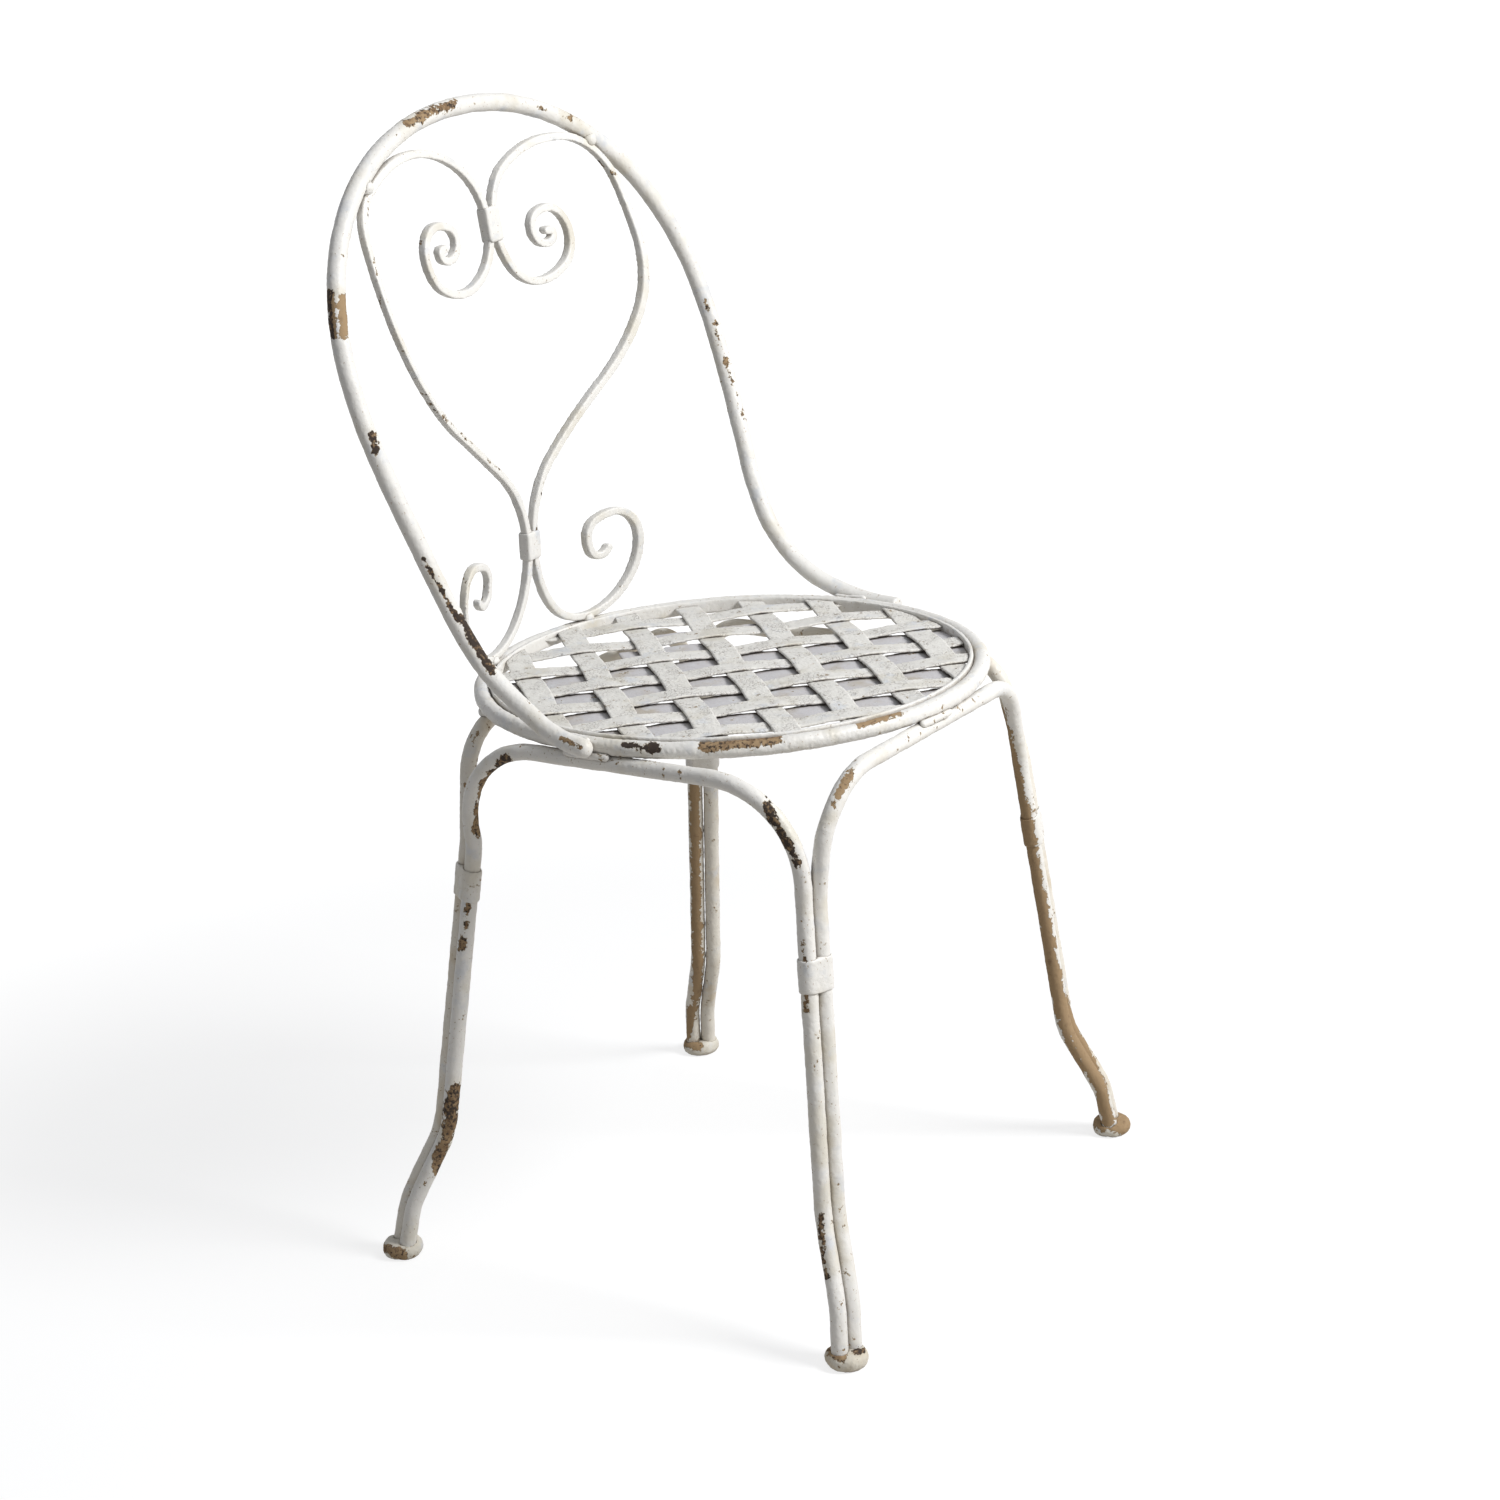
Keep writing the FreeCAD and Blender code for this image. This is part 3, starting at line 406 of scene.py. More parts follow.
@dataclass(frozen=True)
class PhotoCamera:
    """The camera of the photograph, placed from the middle of the seat on the floor."""

    azimuth: float = -56.76       # degrees round the chair
    elevation: float = 18.2       # degrees above the floor
    roll: float = 3.69            # degrees
    distance: float = 2602.33     # mm to the middle of the seat ring
    focal: float = 3248.42        # pixels
    ring_height: float = 453.24   # mm
    ring_column: float = 731.74   # pixel at which the middle of the ring shows
    ring_row: float = 670.67
    sensor: float = 36.0          # mm

    def axes(self) -> tuple[Vector, Vector, Vector]:
        """Give the camera's directions.

        Returns:
            Its right, up and backward directions.
        """
        turn, tilt, roll = (math.radians(a) for a in (self.azimuth, self.elevation, self.roll))
        back = Vector((math.sin(turn) * math.cos(tilt), -math.cos(turn) * math.cos(tilt),
                       math.sin(tilt)))
        level = Vector((math.cos(turn), math.sin(turn), 0.0))
        upright = back.cross(level)
        right = math.cos(roll) * level - math.sin(roll) * upright
        up = math.sin(roll) * level + math.cos(roll) * upright
        return right, up, back

    def place(self, seat: Vector) -> Vector:
        """Give the camera's place, in metres.

        Args:
            seat: the point of the floor under the middle of the seat.

        Returns:
            The place of the lens.
        """
        right, up, back = self.axes()
        aside = (self.ring_column - PHOTO_SIDE / 2.0) / self.focal * self.distance
        down = (self.ring_row - PHOTO_SIDE / 2.0) / self.focal * self.distance
        from_seat = back * self.distance - right * aside + up * down
        return seat + (from_seat + Vector((0.0, 0.0, self.ring_height))) * MM

    def add(self, seat: Vector) -> None:
        """Add the camera to the scene and make it the scene's own.

        Args:
            seat: the point of the floor under the middle of the seat.
        """
        right, up, back = self.axes()
        lens = bpy.data.cameras.new("photo_camera")
        lens.sensor_width = self.sensor
        lens.lens = self.focal / PHOTO_SIDE * self.sensor
        camera = bpy.data.objects.new("photo_camera", lens)
        turn = Matrix((right, up, back)).transposed().to_4x4()
        camera.matrix_world = Matrix.Translation(self.place(seat)) @ turn
        bpy.context.scene.collection.objects.link(camera)
        bpy.context.scene.camera = camera

    def pixels(self, points: np.ndarray, seat: Vector) -> np.ndarray:
        """Give where points show in the photograph.

        Args:
            points: rows of places, in metres.
            seat: the point of the floor under the middle of the seat.

        Returns:
            Rows of column and row, in pixels.
        """
        right, up, back = (np.array(axis) for axis in self.axes())
        away = points - np.array(self.place(seat))
        depth = -(away @ back)
        columns = PHOTO_SIDE / 2.0 + self.focal * (away @ right) / depth
        rows = PHOTO_SIDE / 2.0 - self.focal * (away @ up) / depth
        return np.stack([columns, rows], 1)


CAMERA = PhotoCamera()


@dataclass(frozen=True)
class WornRun:
    """A stretch of a bar whose paint is worn, between two pixels of the photograph."""

    start: tuple[float, float]    # column and row
    end: tuple[float, float]
    reach: float                  # pixels to either side
    amount: float                 # 0 for sound paint, 1 and more for surely bare
    soot: float = 0.2             # how dark the bare iron is there, under 0 for pale rust

    def at(self, pixels: np.ndarray) -> np.ndarray:
        """Give the wear at places of the photograph.

        Args:
            pixels: rows of column and row.

        Returns:
            The wear at each, which fades out over the reach.
        """
        first = np.array(self.start)
        way = np.array(self.end) - first
        share = np.clip(((pixels - first) @ way) / (way @ way), 0.0, 1.0)
        gap = np.linalg.norm(pixels - first - share[:, None] * way, axis=1) / self.reach
        near = np.clip(1.0 - gap, 0.0, 1.0)
        return self.amount * near * near * (3.0 - 2.0 * near)


@dataclass(frozen=True)
class Coat:
    """How thick, lumpy and gritty the paint lies on a piece, in mm."""

    voxel: float = 1.1
    swell: float = 0.15           # how far the paint stands out
    lump: float = 14.0            # size of the soft lumps
    lump_depth: float = 0.5
    grit: float = 2.6
    grit_depth: float = 0.45
    smoothing: int = 3


def cloud_texture(name: str, size: float) -> bpy.types.Texture:
    """Give a procedural cloud pattern.

    Args:
        name: its name, under which it is made once.
        size: how large its patches are, in mm.

    Returns:
        The pattern.
    """
    found = bpy.data.textures.get(name) or bpy.data.textures.new(name, "CLOUDS")
    found.noise_scale = size * MM
    found.noise_depth = 2
    return found


def merged_copy(node: str, name: str) -> bpy.types.Object:
    """Copy a CAD node into a new object with its loose triangles joined.

    Args:
        node: the CAD node.
        name: the new object's name.

    Returns:
        The object, linked to the scene.
    """
    shape = bmesh.new()
    shape.from_mesh(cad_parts[node].data)
    bmesh.ops.remove_doubles(shape, verts=shape.verts, dist=JOIN_WITHIN)
    mesh = bpy.data.meshes.new(name)
    shape.to_mesh(mesh)
    shape.free()
    piece = bpy.data.objects.new(name, mesh)
    bpy.context.scene.collection.objects.link(piece)
    return piece


def add_modifier(piece: bpy.types.Object, kind: str, settings: dict) -> None:
    """Add a modifier with its settings.

    Args:
        piece: the object.
        kind: Blender's name of the modifier.
        settings: its properties by name.
    """
    made = piece.modifiers.new(kind.lower(), kind)
    for key, value in settings.items():
        setattr(made, key, value)


def apply_modifiers(piece: bpy.types.Object) -> None:
    """Put what the modifiers make in the place of the mesh.

    Args:
        piece: the object, which is changed.
    """
    graph = bpy.context.evaluated_depsgraph_get()
    made = bpy.data.meshes.new_from_object(piece.evaluated_get(graph), depsgraph=graph)
    piece.modifiers.clear()
    piece.data = made


def paint_over(piece: bpy.types.Object, coat: Coat) -> None:
    """Give a piece the skin of its paint: rounded edges, soft lumps and grit.

    Args:
        piece: the object, which is changed.
        coat: how the paint lies.
    """
    add_modifier(piece, "REMESH", {"mode": "VOXEL", "voxel_size": coat.voxel * MM,
                                   "use_smooth_shade": True})
    add_modifier(piece, "SMOOTH", {"factor": 0.5, "iterations": coat.smoothing})
    add_modifier(piece, "DISPLACE", {"strength": coat.swell * MM, "mid_level": 0.0})
    for size, depth in ((coat.lump, coat.lump_depth), (coat.grit, coat.grit_depth)):
        texture = cloud_texture("clouds_%g" % size, size)
        add_modifier(piece, "DISPLACE", {"texture": texture, "strength": depth * MM,
                                         "mid_level": 0.5, "texture_coords": "LOCAL"})
    apply_modifiers(piece)


def sink_worn(piece: bpy.types.Object, points: np.ndarray, wear: np.ndarray) -> None:
    """Sink the surface where the coats of paint are gone, and keep it inside the CAD box.

    Args:
        piece: the object.
        points: its vertices' places.
        wear: how worn each is.
    """
    normals = np.zeros(points.size)
    piece.data.vertex_normals.foreach_get("vector", normals)
    sunk = points - normals.reshape(-1, 3) * (wear * WORN_DEPTH * MM)[:, None]
    sunk = np.clip(sunk, *(np.array(corner) for corner in CAD_BOX))
    piece.data.vertices.foreach_set("co", sunk.ravel())
    piece.data.update()


def mark_wear(piece: bpy.types.Object, seat: Vector, base: float,
              runs: tuple[WornRun, ...]) -> None:
    """Write how worn the paint is at each vertex, and sink the surface there.

    Args:
        piece: the object.
        seat: the point of the floor under the middle of the seat.
        base: the wear all over.
        runs: the stretches that are worn more.
    """
    count = len(piece.data.vertices)
    flat = np.zeros(count * 3)
    piece.data.vertices.foreach_get("co", flat)
    points = flat.reshape(-1, 3)
    marks = {WEAR: np.full(count, base), SOOT: np.zeros(count)}
    pixels = CAMERA.pixels(points, seat)
    for run in runs:
        here = run.at(pixels)
        marks[WEAR] = np.maximum(marks[WEAR], here)
        marks[SOOT] = np.where(here > 0.0, run.soot, marks[SOOT])
    sink_worn(piece, points, marks[WEAR])
    for name, values in marks.items():
        attribute = piece.data.attributes.new(name, "FLOAT", "POINT")
        attribute.data.foreach_set("value", values)


class SubAssembly:
    """A part of the chair whose CAD nodes get their paint."""

    base_wear: float = 0.0

    def nodes(self) -> list[str]:
        """Give the CAD nodes of this part of the chair."""
        return []

    def coat(self, node: str) -> Coat:
        """Give how the paint lies on a node."""
        return Coat()

    def finish(self, node: str) -> OilEnamel:
        """Give the finish of a node."""
        return FRAME_ENAMEL

    def wear(self, node: str) -> float:
        """Give how worn a node is all over."""
        return self.base_wear

    def slot(self, node: str) -> Slot:
        """Give the material slot of a node."""
        return Slot.FRAME

    def worn(self) -> dict[str, tuple[WornRun, ...]]:
        """Give the worn stretches of each node."""
        return {}

    def build(self, seat: Vector, materials: dict[str, bpy.types.Material]) -> None:
        """Make, dress and report each painted piece.

        Args:
            seat: the point of the floor under the middle of the seat.
            materials: the materials by name.
        """
        worn = self.worn()
        for node in self.nodes():
            piece = merged_copy(node, node + "_painted")
            paint_over(piece, self.coat(node))
            mark_wear(piece, seat, self.wear(node), worn.get(node, ()))
            piece.data.materials.clear()
            piece.data.materials.append(materials[self.finish(node).name])
            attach(piece, BODY)
            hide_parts(node)
            LOG.info("%s: %d faces", piece.name, len(piece.data.polygons))


# Oil enamel on bent iron bars: smooth and softly lumpy, chipped through where hands and
# the ground wore it.
FRAME_ENAMEL = OilEnamel("oil_enamel_on_iron_bar")
# The same enamel painted warmer and tan, as a painted reflection of the warm light that the
# ground throws onto the right and back legs.
GROUND_BOUNCE_ENAMEL = OilEnamel("enamel_warmed_by_painted_ground_bounce", top="#EAE5DA", aged="#D6C9B2",
                            old_coat="#B39F82")
# The same enamel on the woven straps, which caught sand: a granular, crazed skin, with painted
# shade and dirt darkening the places where the straps cross.
STRAP_ENAMEL = OilEnamel("gritty_enamel_on_straps", top="#ECEAE4", aged="#DEDACF",
                         chip=8.0, bare_from=0.66, grit=1.9, grit_depth=0.4,
                         crazing=0.6, craze_field=3.4, crevice_reach=9.0, crevice_dirt_and_shade=0.85,
                         grime_and_shade="#5F5145", sheen=0.6)
# Thin greyish enamel on the plain straps under the weave. Its grey is partly its own and partly
# painted shade from the weave above, and its crevices carry painted shade with dirt.
UNDER_ENAMEL = OilEnamel("enamel_under_the_weave_greyed_as_painted_shade", top="#CFCDCF", aged="#C2BAAE",
                         chip=12.0, bare_from=0.66, crevice_reach=9.0, crevice_dirt_and_shade=0.9,
                         grime_and_shade="#5F5145", sheen=0.6)
# Enamel on the forged feet, rubbed and stained by the ground.
FOOT_ENAMEL = OilEnamel("rubbed_enamel_on_feet", top="#DFDACD", aged="#C9BCA5",
                        chip=10.0, bare_from=0.67, sheen=0.55)
FINISHES = (FRAME_ENAMEL, GROUND_BOUNCE_ENAMEL, STRAP_ENAMEL, UNDER_ENAMEL, FOOT_ENAMEL)


@dataclass
class Back(SubAssembly):
    """The bent hoop and the heart of two scrolls."""

    base_wear: float = 0.05
    hoop_coat: Coat = Coat(voxel=1.15, lump=16.0, lump_depth=0.9)
    scroll_coat: Coat = Coat(voxel=0.95, lump=9.0, lump_depth=0.4, grit=2.4, grit_depth=0.3)
    scrolls: tuple[str, ...] = ("heart_scroll_right", "heart_scroll_left")
    fittings: tuple[str, ...] = ("upper_scroll_collar", "lower_scroll_collar",
                                 "heart_to_hoop_welds", "scroll_foot_welds")
    # Worn stretches of the hoop, where left and right are the photograph's.
    crown_chip: WornRun = WornRun(start=(408, 122), end=(452, 104),
                                  reach=11.0, amount=0.85)
    crown_right_chip: WornRun = WornRun(start=(540, 108), end=(572, 118),
                                        reach=8.0, amount=0.55)
    left_bend_dark: WornRun = WornRun(start=(330, 294), end=(331, 334),
                                      reach=10.0, amount=0.9, soot=0.8)
    left_bend_tan: WornRun = WornRun(start=(342, 300), end=(345, 335),
                                     reach=11.0, amount=0.85, soot=-0.5)
    left_middle_chip: WornRun = WornRun(start=(372, 436), end=(376, 452),
                                        reach=9.0, amount=0.8, soot=0.7)
    right_flakes: WornRun = WornRun(start=(705, 300), end=(745, 420),
                                    reach=6.0, amount=0.5)
    left_low_line: WornRun = WornRun(start=(424, 560), end=(470, 640),
                                     reach=6.0, amount=0.7, soot=0.7)
    left_low_dark: WornRun = WornRun(start=(462, 618), end=(492, 672),
                                     reach=9.0, amount=0.9, soot=0.9)
    left_end_chip: WornRun = WornRun(start=(560, 738), end=(582, 748),
                                     reach=6.0, amount=0.5)
    # Worn stretches of the two scrolls.
    left_lobe_rub: WornRun = WornRun(start=(366, 190), end=(384, 330),
                                     reach=5.0, amount=0.45)
    left_waist_rub: WornRun = WornRun(start=(420, 395), end=(500, 470),
                                      reach=5.0, amount=0.45)
    left_curl_rub: WornRun = WornRun(start=(455, 570), end=(482, 600),
                                     reach=6.0, amount=0.45)
    right_lobe_rub: WornRun = WornRun(start=(560, 140), end=(640, 190),
                                      reach=5.0, amount=0.45)
    right_waist_rub: WornRun = WornRun(start=(545, 480), end=(535, 560),
                                       reach=5.0, amount=0.4)

    def nodes(self) -> list[str]:
        """Give the CAD nodes of the back."""
        return ["back_hoop", *self.scrolls, *self.fittings]

    def coat(self, node: str) -> Coat:
        """Give how the paint lies on a node."""
        return self.hoop_coat if node == "back_hoop" else self.scroll_coat

    def worn(self) -> dict[str, tuple[WornRun, ...]]:
        """Give the worn stretches of each node."""
        return {
            "back_hoop": (self.crown_chip, self.crown_right_chip, self.left_bend_dark,
                          self.left_bend_tan, self.left_middle_chip, self.right_flakes,
                          self.left_low_line, self.left_low_dark, self.left_end_chip),
            "heart_scroll_left": (self.left_lobe_rub, self.left_waist_rub, self.left_curl_rub),
            "heart_scroll_right": (self.right_lobe_rub, self.right_waist_rub),
        }


@dataclass
class Seat(SubAssembly):
    """The ring, its rim, the woven straps and the plain straps under them."""

    base_wear: float = 0.06
    ring_coat: Coat = Coat(voxel=1.1, lump=15.0, lump_depth=1.0, grit_depth=0.8)
    rim_coat: Coat = Coat(voxel=1.0, lump=10.0, lump_depth=0.4)
    strap_coat: Coat = Coat(voxel=0.9, swell=0.1, lump=9.0, lump_depth=0.8, grit=2.0,
                            grit_depth=0.75, smoothing=1)
    under_coat: Coat = Coat(voxel=1.1, swell=0.05, lump=12.0, lump_depth=0.4)
    # Worn stretches of the ring, from the photograph's left to its right.
    dark_chip: WornRun = WornRun(start=(625, 744), end=(655, 748),
                                 reach=10.0, amount=0.95, soot=1.0)
    front_chip: WornRun = WornRun(start=(704, 746), end=(775, 738),
                                  reach=14.0, amount=1.0, soot=0.15)
    right_chip: WornRun = WornRun(start=(860, 722), end=(893, 714),
                                  reach=12.0, amount=0.85, soot=-0.3)

    def nodes(self) -> list[str]:
        """Give the CAD nodes of the seat.

        Returns:
            Their names.
        """
        named = sorted(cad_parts)
        woven = [node for node in named if self.is_woven(node)]
        under = [node for node in named if self.is_under(node)]
        return ["seat_ring", "seat_rim", *woven, *under, "hoop_welds"]

    def is_woven(self, node: str) -> bool:
        """Say whether a node is a strap of the weave."""
        return "_strap_" in node

    def is_under(self, node: str) -> bool:
        """Say whether a node is a plain strap under the weave."""
        return node.startswith("stiffener_")

    def coat(self, node: str) -> Coat:
        """Give how the paint lies on a node.

        Args:
            node: the CAD node.

        Returns:
            The coat.
        """
        if self.is_woven(node):
            return self.strap_coat
        if self.is_under(node):
            return self.under_coat
        return self.rim_coat if node == "seat_rim" else self.ring_coat

    def finish(self, node: str) -> OilEnamel:
        """Give the finish of a node.

        Args:
            node: the CAD node.

        Returns:
            The finish.
        """
        if self.is_woven(node):
            return STRAP_ENAMEL
        return UNDER_ENAMEL if self.is_under(node) else FRAME_ENAMEL

    def slot(self, node: str) -> Slot:
        """Give the material slot of a node."""
        return Slot.STRAP if self.is_woven(node) or self.is_under(node) else Slot.FRAME

    def worn(self) -> dict[str, tuple[WornRun, ...]]:
        """Give the worn stretches of each node."""
        return {"seat_ring": (self.dark_chip, self.front_chip, self.right_chip)}


@dataclass
class Legs(SubAssembly):
    """The four arches whose ends are the legs, their bands, welds and feet."""

    base_wear: float = 0.14
    foot_wear: float = 0.2
    rod_coat: Coat = Coat(voxel=1.15, lump=15.0, lump_depth=0.9)
    fitting_coat: Coat = Coat(voxel=0.9, lump=8.0, lump_depth=0.6, smoothing=18)
    foot_coat: Coat = Coat(voxel=0.9, lump=11.0, lump_depth=2.0, grit_depth=0.7)
    # The arches whose enamel is painted warm, as a painted reflection of light bounced up from
    # the ground.
    arches_with_ground_bounce: tuple[str, ...] = ("right_arch", "back_arch")
    # Worn stretches of the arches' bends and of the left, front and back legs.
    left_arch_front_bend: WornRun = WornRun(start=(766, 806), end=(798, 862),
                                            reach=11.0, amount=0.85, soot=0.7)
    left_arch_back_bend: WornRun = WornRun(start=(506, 760), end=(486, 784),
                                           reach=12.0, amount=1.0, soot=0.6)
    left_arch_back_drop: WornRun = WornRun(start=(486, 784), end=(477, 830),
                                           reach=12.0, amount=1.0, soot=0.1)
    left_leg_flakes: WornRun = WornRun(start=(470, 890), end=(462, 950),
                                       reach=8.0, amount=0.6, soot=0.3)
    left_leg_dark_band: WornRun = WornRun(start=(455, 1092), end=(448, 1132),
                                          reach=15.0, amount=1.15, soot=0.4)
    left_leg_low_band: WornRun = WornRun(start=(448, 1132), end=(437, 1168),
                                         reach=12.0, amount=1.1, soot=0.1)
    front_leg_flakes: WornRun = WornRun(start=(820, 1216), end=(824, 1276),
                                        reach=9.0, amount=0.72, soot=0.4)
    front_leg_rub: WornRun = WornRun(start=(803, 940), end=(806, 1010),
                                     reach=6.0, amount=0.6, soot=0.1)
    front_arch_bend: WornRun = WornRun(start=(853, 770), end=(834, 804),
                                       reach=10.0, amount=0.85, soot=-0.3)
    back_arch_bend: WornRun = WornRun(start=(478, 760), end=(474, 830),
                                      reach=7.0, amount=0.6)
    back_arch_low_band: WornRun = WornRun(start=(444, 1130), end=(428, 1170),
                                          reach=10.0, amount=0.7)
    back_leg_tan: WornRun = WornRun(start=(694, 780), end=(698, 990),
                                    reach=10.0, amount=1.1, soot=-0.7)
    back_leg_tan_end: WornRun = WornRun(start=(698, 990), end=(686, 1036),
                                        reach=9.0, amount=1.0, soot=-0.7)
    back_leg_rub: WornRun = WornRun(start=(700, 790), end=(696, 1010),
                                    reach=8.0, amount=0.6, soot=0.0)
    # The right leg's tan stretches, on both its rods and their band: bare pale rust, which also
    # stands in as a painted reflection of the brown light that the ground throws up on the leg.
    right_leg_top: WornRun = WornRun(start=(998, 714), end=(1025, 822),
                                     reach=15.0, amount=1.15, soot=-0.7)
    right_leg_middle: WornRun = WornRun(start=(1025, 822), end=(1056, 990),
                                        reach=15.0, amount=1.15, soot=-0.7)
    right_leg_low: WornRun = WornRun(start=(1056, 990), end=(1099, 1084),
                                     reach=14.0, amount=1.15, soot=-0.7)
    right_leg_end: WornRun = WornRun(start=(1099, 1084), end=(1108, 1120),
                                     reach=12.0, amount=1.15, soot=-0.7)
    right_leg_inner_rod: WornRun = WornRun(start=(1056, 1004), end=(1080, 1070),
                                           reach=9.0, amount=1.1, soot=-0.7)
    # Stains and chips of the feet.
    right_foot_stain: WornRun = WornRun(start=(1098, 1116), end=(1126, 1122),
                                        reach=26.0, amount=1.1, soot=-0.5)
    front_foot_tan: WornRun = WornRun(start=(834, 1350), end=(842, 1356),
                                      reach=12.0, amount=0.95, soot=0.0)
    front_foot_dark: WornRun = WornRun(start=(858, 1352), end=(864, 1350),
                                       reach=8.0, amount=0.9, soot=0.7)
    left_foot_chip: WornRun = WornRun(start=(386, 1248), end=(402, 1256),
                                      reach=10.0, amount=1.0, soot=0.0)
    back_foot_stain: WornRun = WornRun(start=(686, 1042), end=(698, 1046),
                                       reach=10.0, amount=1.1, soot=-0.4)

    def nodes(self) -> list[str]:
        """Give the CAD nodes of the legs.

        Returns:
            Their names.
        """
        named = sorted(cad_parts)
        arches = [node for node in named if node.endswith("_arch")]
        welds = [node for node in named if node.endswith("_arch_weld")]
        bands = [node for node in named if node.startswith("leg_collar_")]
        feet = [node for node in named if self.is_foot(node)]
        return [*arches, *welds, *bands, *feet]

    def is_foot(self, node: str) -> bool:
        """Say whether a node is a foot."""
        return node.startswith("foot_")

    def coat(self, node: str) -> Coat:
        """Give how the paint lies on a node.

        Args:
            node: the CAD node.

        Returns:
            The coat.
        """
        if self.is_foot(node):
            return self.foot_coat
        return self.rod_coat if node.endswith("_arch") else self.fitting_coat

    def finish(self, node: str) -> OilEnamel:
        """Give the finish of a node.

        Args:
            node: the CAD node.

        Returns:
            The finish.
        """
        # The right and back arches get the painted warm reflection from the ground.
        if node in self.arches_with_ground_bounce:
            return GROUND_BOUNCE_ENAMEL
        return FOOT_ENAMEL if self.is_foot(node) else FRAME_ENAMEL

    def slot(self, node: str) -> Slot:
        """Give the material slot of a node."""
        return Slot.FOOT if self.is_foot(node) else Slot.FRAME

    def wear(self, node: str) -> float:
        """Give how worn a node is all over."""
        return self.foot_wear if self.is_foot(node) else self.base_wear

    def worn(self) -> dict[str, tuple[WornRun, ...]]:
        """Give the worn stretches of each node."""
        right_leg = (self.right_leg_top, self.right_leg_middle, self.right_leg_low,
                     self.right_leg_end, self.right_leg_inner_rod)
        return {
            "left_arch": (self.left_arch_front_bend, self.left_arch_back_bend,
                          self.left_arch_back_drop, self.left_leg_flakes, self.left_leg_dark_band,
                          self.left_leg_low_band, self.front_leg_flakes, self.front_leg_rub),
            "front_arch": (self.front_arch_bend, *right_leg),
            "back_arch": (self.back_arch_bend, self.back_arch_low_band, self.back_leg_tan,
                          self.back_leg_tan_end),
            "right_arch": (self.back_leg_rub, *right_leg),
            "leg_collar_front_right": right_leg,
            "foot_front_right": (self.right_foot_stain,),
            "foot_front_left": (self.front_foot_tan, self.front_foot_dark),
            "foot_back_left": (self.left_foot_chip,),
            "foot_back_right": (self.back_foot_stain,),
        }


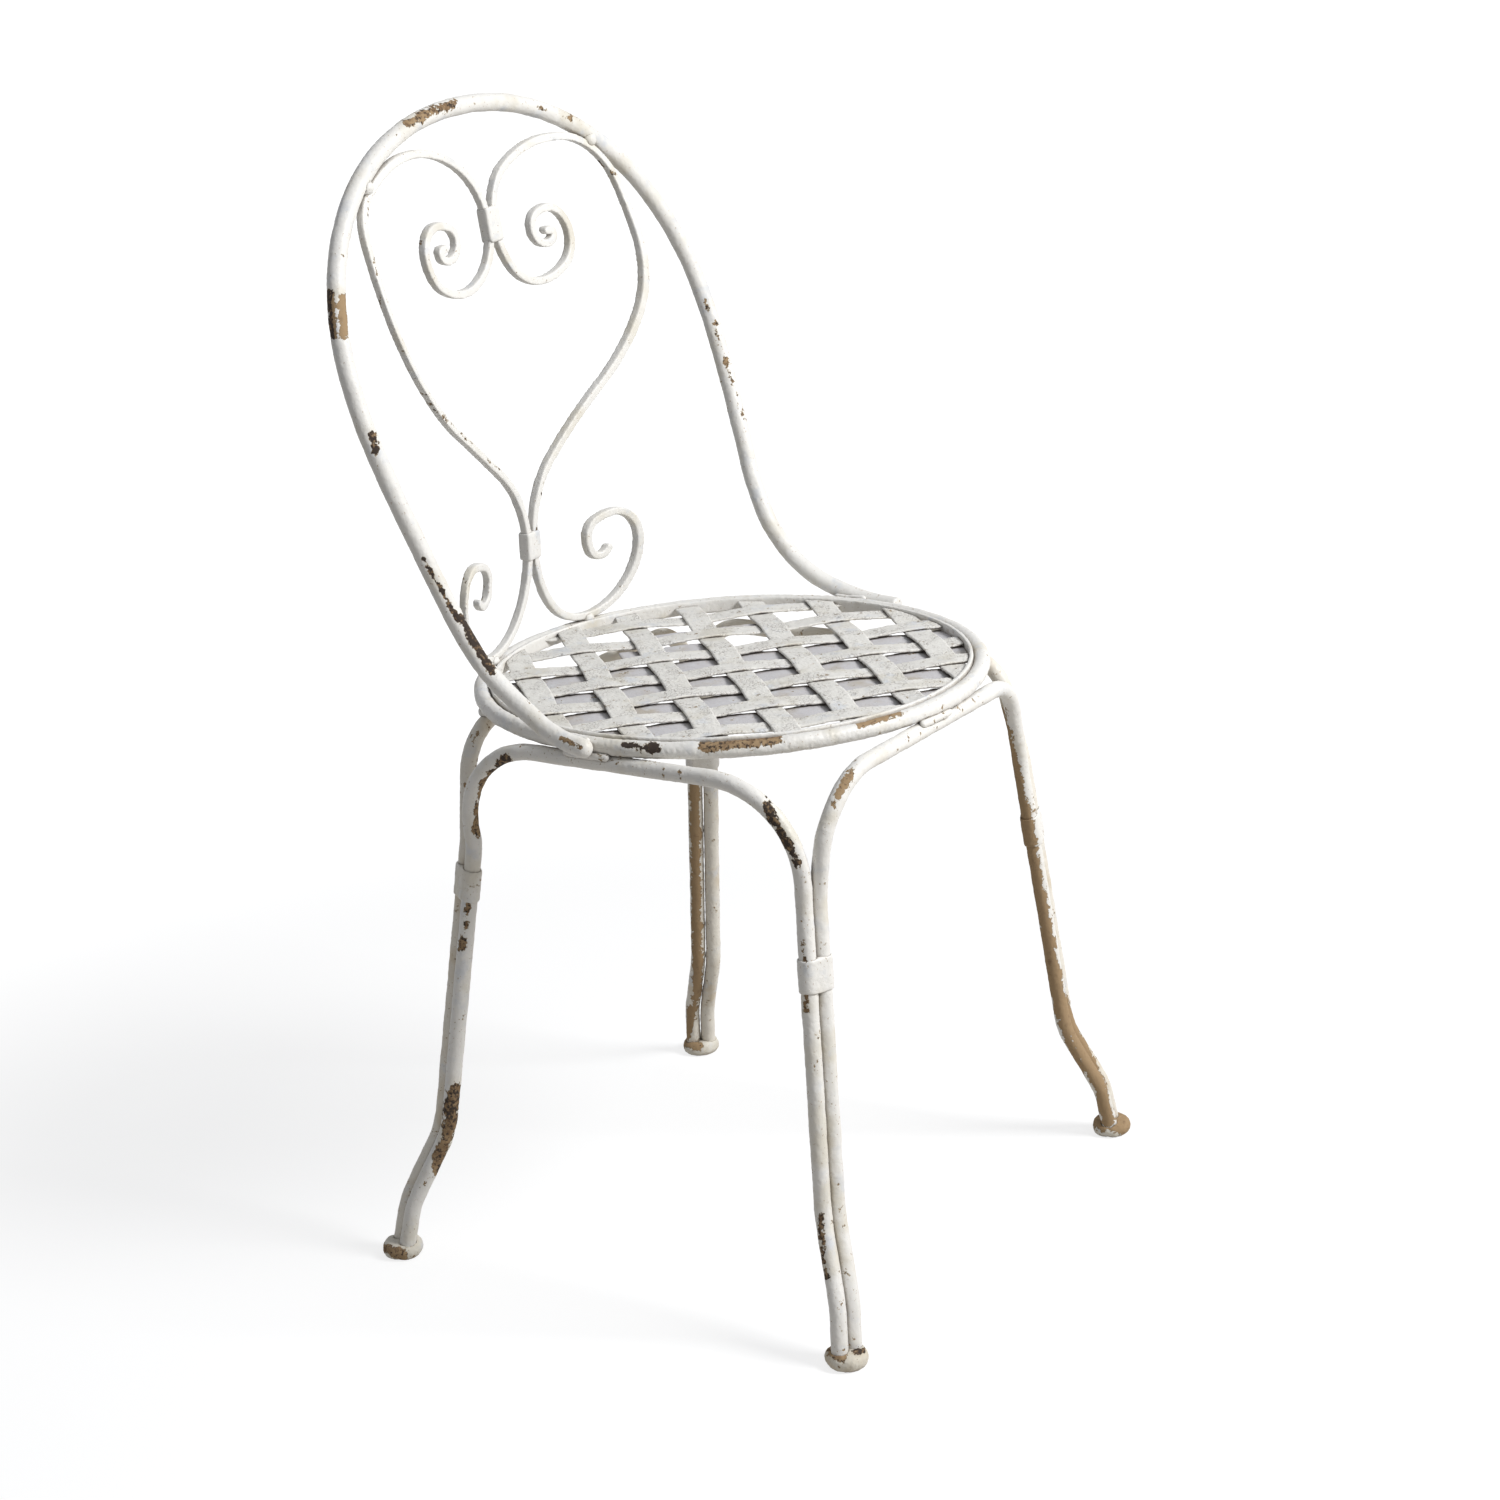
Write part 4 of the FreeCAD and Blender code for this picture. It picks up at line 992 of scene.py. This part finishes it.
@dataclass
class Studio:
    """A plain pale floor, one soft lamp and a white surround."""

    floor_side: float = 60.0        # m
    floor_colour: str = "#C9C4BC"   # what it throws back on the chair
    floor_white: float = 0.68       # how much of the floor the camera sees as plain white
    floor_glow: float = 1.15        # how bright that white is
    clear_from: float = 0.7         # m from the middle, where the white starts to take over
    clear_to: float = 1.5           # m, where the floor is wholly white
    surround: str = "#E4E7EE"       # colour of the light from all round
    surround_strength: float = 0.3
    key_watts: float = 98.0
    key_side: float = 1.0           # m
    key_distance: float = 3.2       # m
    key_aim: float = 0.45           # m above the floor
    key_to_right: float = 0.95      # the shares of its direction, as the camera looks
    key_up: float = 0.75
    key_to_camera: float = 0.4

    def add_floor(self) -> None:
        """Lay the floor."""
        shape = bmesh.new()
        bmesh.ops.create_grid(shape, x_segments=1, y_segments=1, size=self.floor_side / 2.0)
        mesh = bpy.data.meshes.new("floor")
        shape.to_mesh(mesh)
        shape.free()
        floor = bpy.data.objects.new("floor", mesh)
        bpy.context.scene.collection.objects.link(floor)
        mesh.materials.append(self.floor_paint())

    def floor_paint(self) -> bpy.types.Material:
        """Make the matt pale floor, which the camera sees as nearly white with its shadow.

        Returns:
            The material.
        """
        made = bpy.data.materials.new("matt_pale_floor")
        made.use_nodes = True
        tree = made.node_tree
        tree.nodes.clear()
        path = add_node(tree, "ShaderNodeLightPath")
        seen = self.seen(tree, path)
        middle = add_node(tree, "ShaderNodeTexCoord")
        away = add_node(tree, "ShaderNodeVectorMath", {"operation": "LENGTH"},
                        {0: middle.outputs["Object"]})
        clear = add_node(tree, "ShaderNodeMapRange",
                         {"interpolation_type": "SMOOTHSTEP", "From Min": self.clear_from,
                          "From Max": self.clear_to, "To Min": self.floor_white, "To Max": 1.0},
                         {"Value": away.outputs["Value"]})
        share = add_node(tree, "ShaderNodeMath", {"operation": "MULTIPLY"},
                         {0: seen, 1: clear.outputs["Result"]})
        colour = add_node(tree, "ShaderNodeMix",
                          {"data_type": "RGBA", MIX_FIRST: linear(self.floor_colour),
                           MIX_SECOND: WHITE}, {MIX_SHARE: seen})
        matt = add_node(tree, "ShaderNodeBsdfDiffuse", None,
                        {"Color": colour.outputs[MIX_RESULT]})
        white = add_node(tree, "ShaderNodeEmission", {"Strength": self.floor_glow})
        mixed = add_node(tree, "ShaderNodeMixShader", None,
                         {0: share.outputs[0], 1: matt.outputs[0], 2: white.outputs[0]})
        add_node(tree, "ShaderNodeOutputMaterial", None, {"Surface": mixed.outputs[0]})
        return made

    def seen(self, tree: bpy.types.NodeTree, path: bpy.types.Node) -> bpy.types.NodeSocket:
        """Tell rays from the camera, mirrors and glass from others.

        Args:
            tree: the material's or world's node tree.
            path: its Light Path node.

        Returns:
            1 for those rays and 0 for others.
        """
        first = add_node(tree, "ShaderNodeMath", {"operation": "MAXIMUM"},
                         {0: path.outputs["Is Camera Ray"], 1: path.outputs["Is Glossy Ray"]})
        both = add_node(tree, "ShaderNodeMath", {"operation": "MAXIMUM"},
                        {0: first.outputs[0], 1: path.outputs["Is Transmission Ray"]})
        return both.outputs[0]

    def add_surround(self) -> None:
        """Light the scene from all round, and show it as white."""
        world = bpy.data.worlds.new("white_surround")
        bpy.context.scene.world = world
        world.use_nodes = True
        tree = world.node_tree
        tree.nodes.clear()
        path = add_node(tree, "ShaderNodeLightPath")
        light = add_node(tree, "ShaderNodeBackground",
                         {"Color": linear(self.surround), "Strength": self.surround_strength})
        white = add_node(tree, "ShaderNodeBackground", {"Color": WHITE})
        mixed = add_node(tree, "ShaderNodeMixShader", None,
                         {0: self.seen(tree, path), 1: light.outputs[0], 2: white.outputs[0]})
        add_node(tree, "ShaderNodeOutputWorld", None, {"Surface": mixed.outputs[0]})

    def add_key(self, seat: Vector) -> None:
        """Hang the soft lamp high on the photograph's right.

        Args:
            seat: the point of the floor under the middle of the seat.
        """
        right, _, back = CAMERA.axes()
        aim = seat + Vector((0.0, 0.0, self.key_aim))
        way = right * self.key_to_right + Vector((0.0, 0.0, self.key_up))
        way = (way + back * self.key_to_camera).normalized()
        light = bpy.data.lights.new("key_light", "AREA")
        light.energy = self.key_watts
        light.size = self.key_side
        lamp = bpy.data.objects.new("key_light", light)
        lamp.rotation_mode = "QUATERNION"
        lamp.rotation_quaternion = (-way).to_track_quat("-Z", "Y")
        lamp.location = aim + way * self.key_distance
        bpy.context.scene.collection.objects.link(lamp)

    def build(self, seat: Vector) -> None:
        """Add the floor, the surround and the lamp, and show colours as they are.

        Args:
            seat: the point of the floor under the middle of the seat.
        """
        self.add_floor()
        self.add_surround()
        self.add_key(seat)
        bpy.context.scene.view_settings.view_transform = "Standard"


def seat_middle() -> Vector:
    """Give the point of the floor under the middle of the seat ring."""
    low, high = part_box("seat_ring")
    return Vector(((low.x + high.x) / 2.0, (low.y + high.y) / 2.0, 0.0))


def main() -> None:
    """Build the studio, the camera and each part of the chair."""
    logging.basicConfig(level=logging.INFO, format="%(message)s")
    seat = seat_middle()
    CAMERA.add(seat)
    Studio().build(seat)
    materials = {finish.name: finish.make() for finish in FINISHES}
    for assembly in (Back(), Seat(), Legs()):
        LOG.info("building %s", type(assembly).__name__)
        assembly.build(seat, materials)


if __name__ == "__main__":
    main()
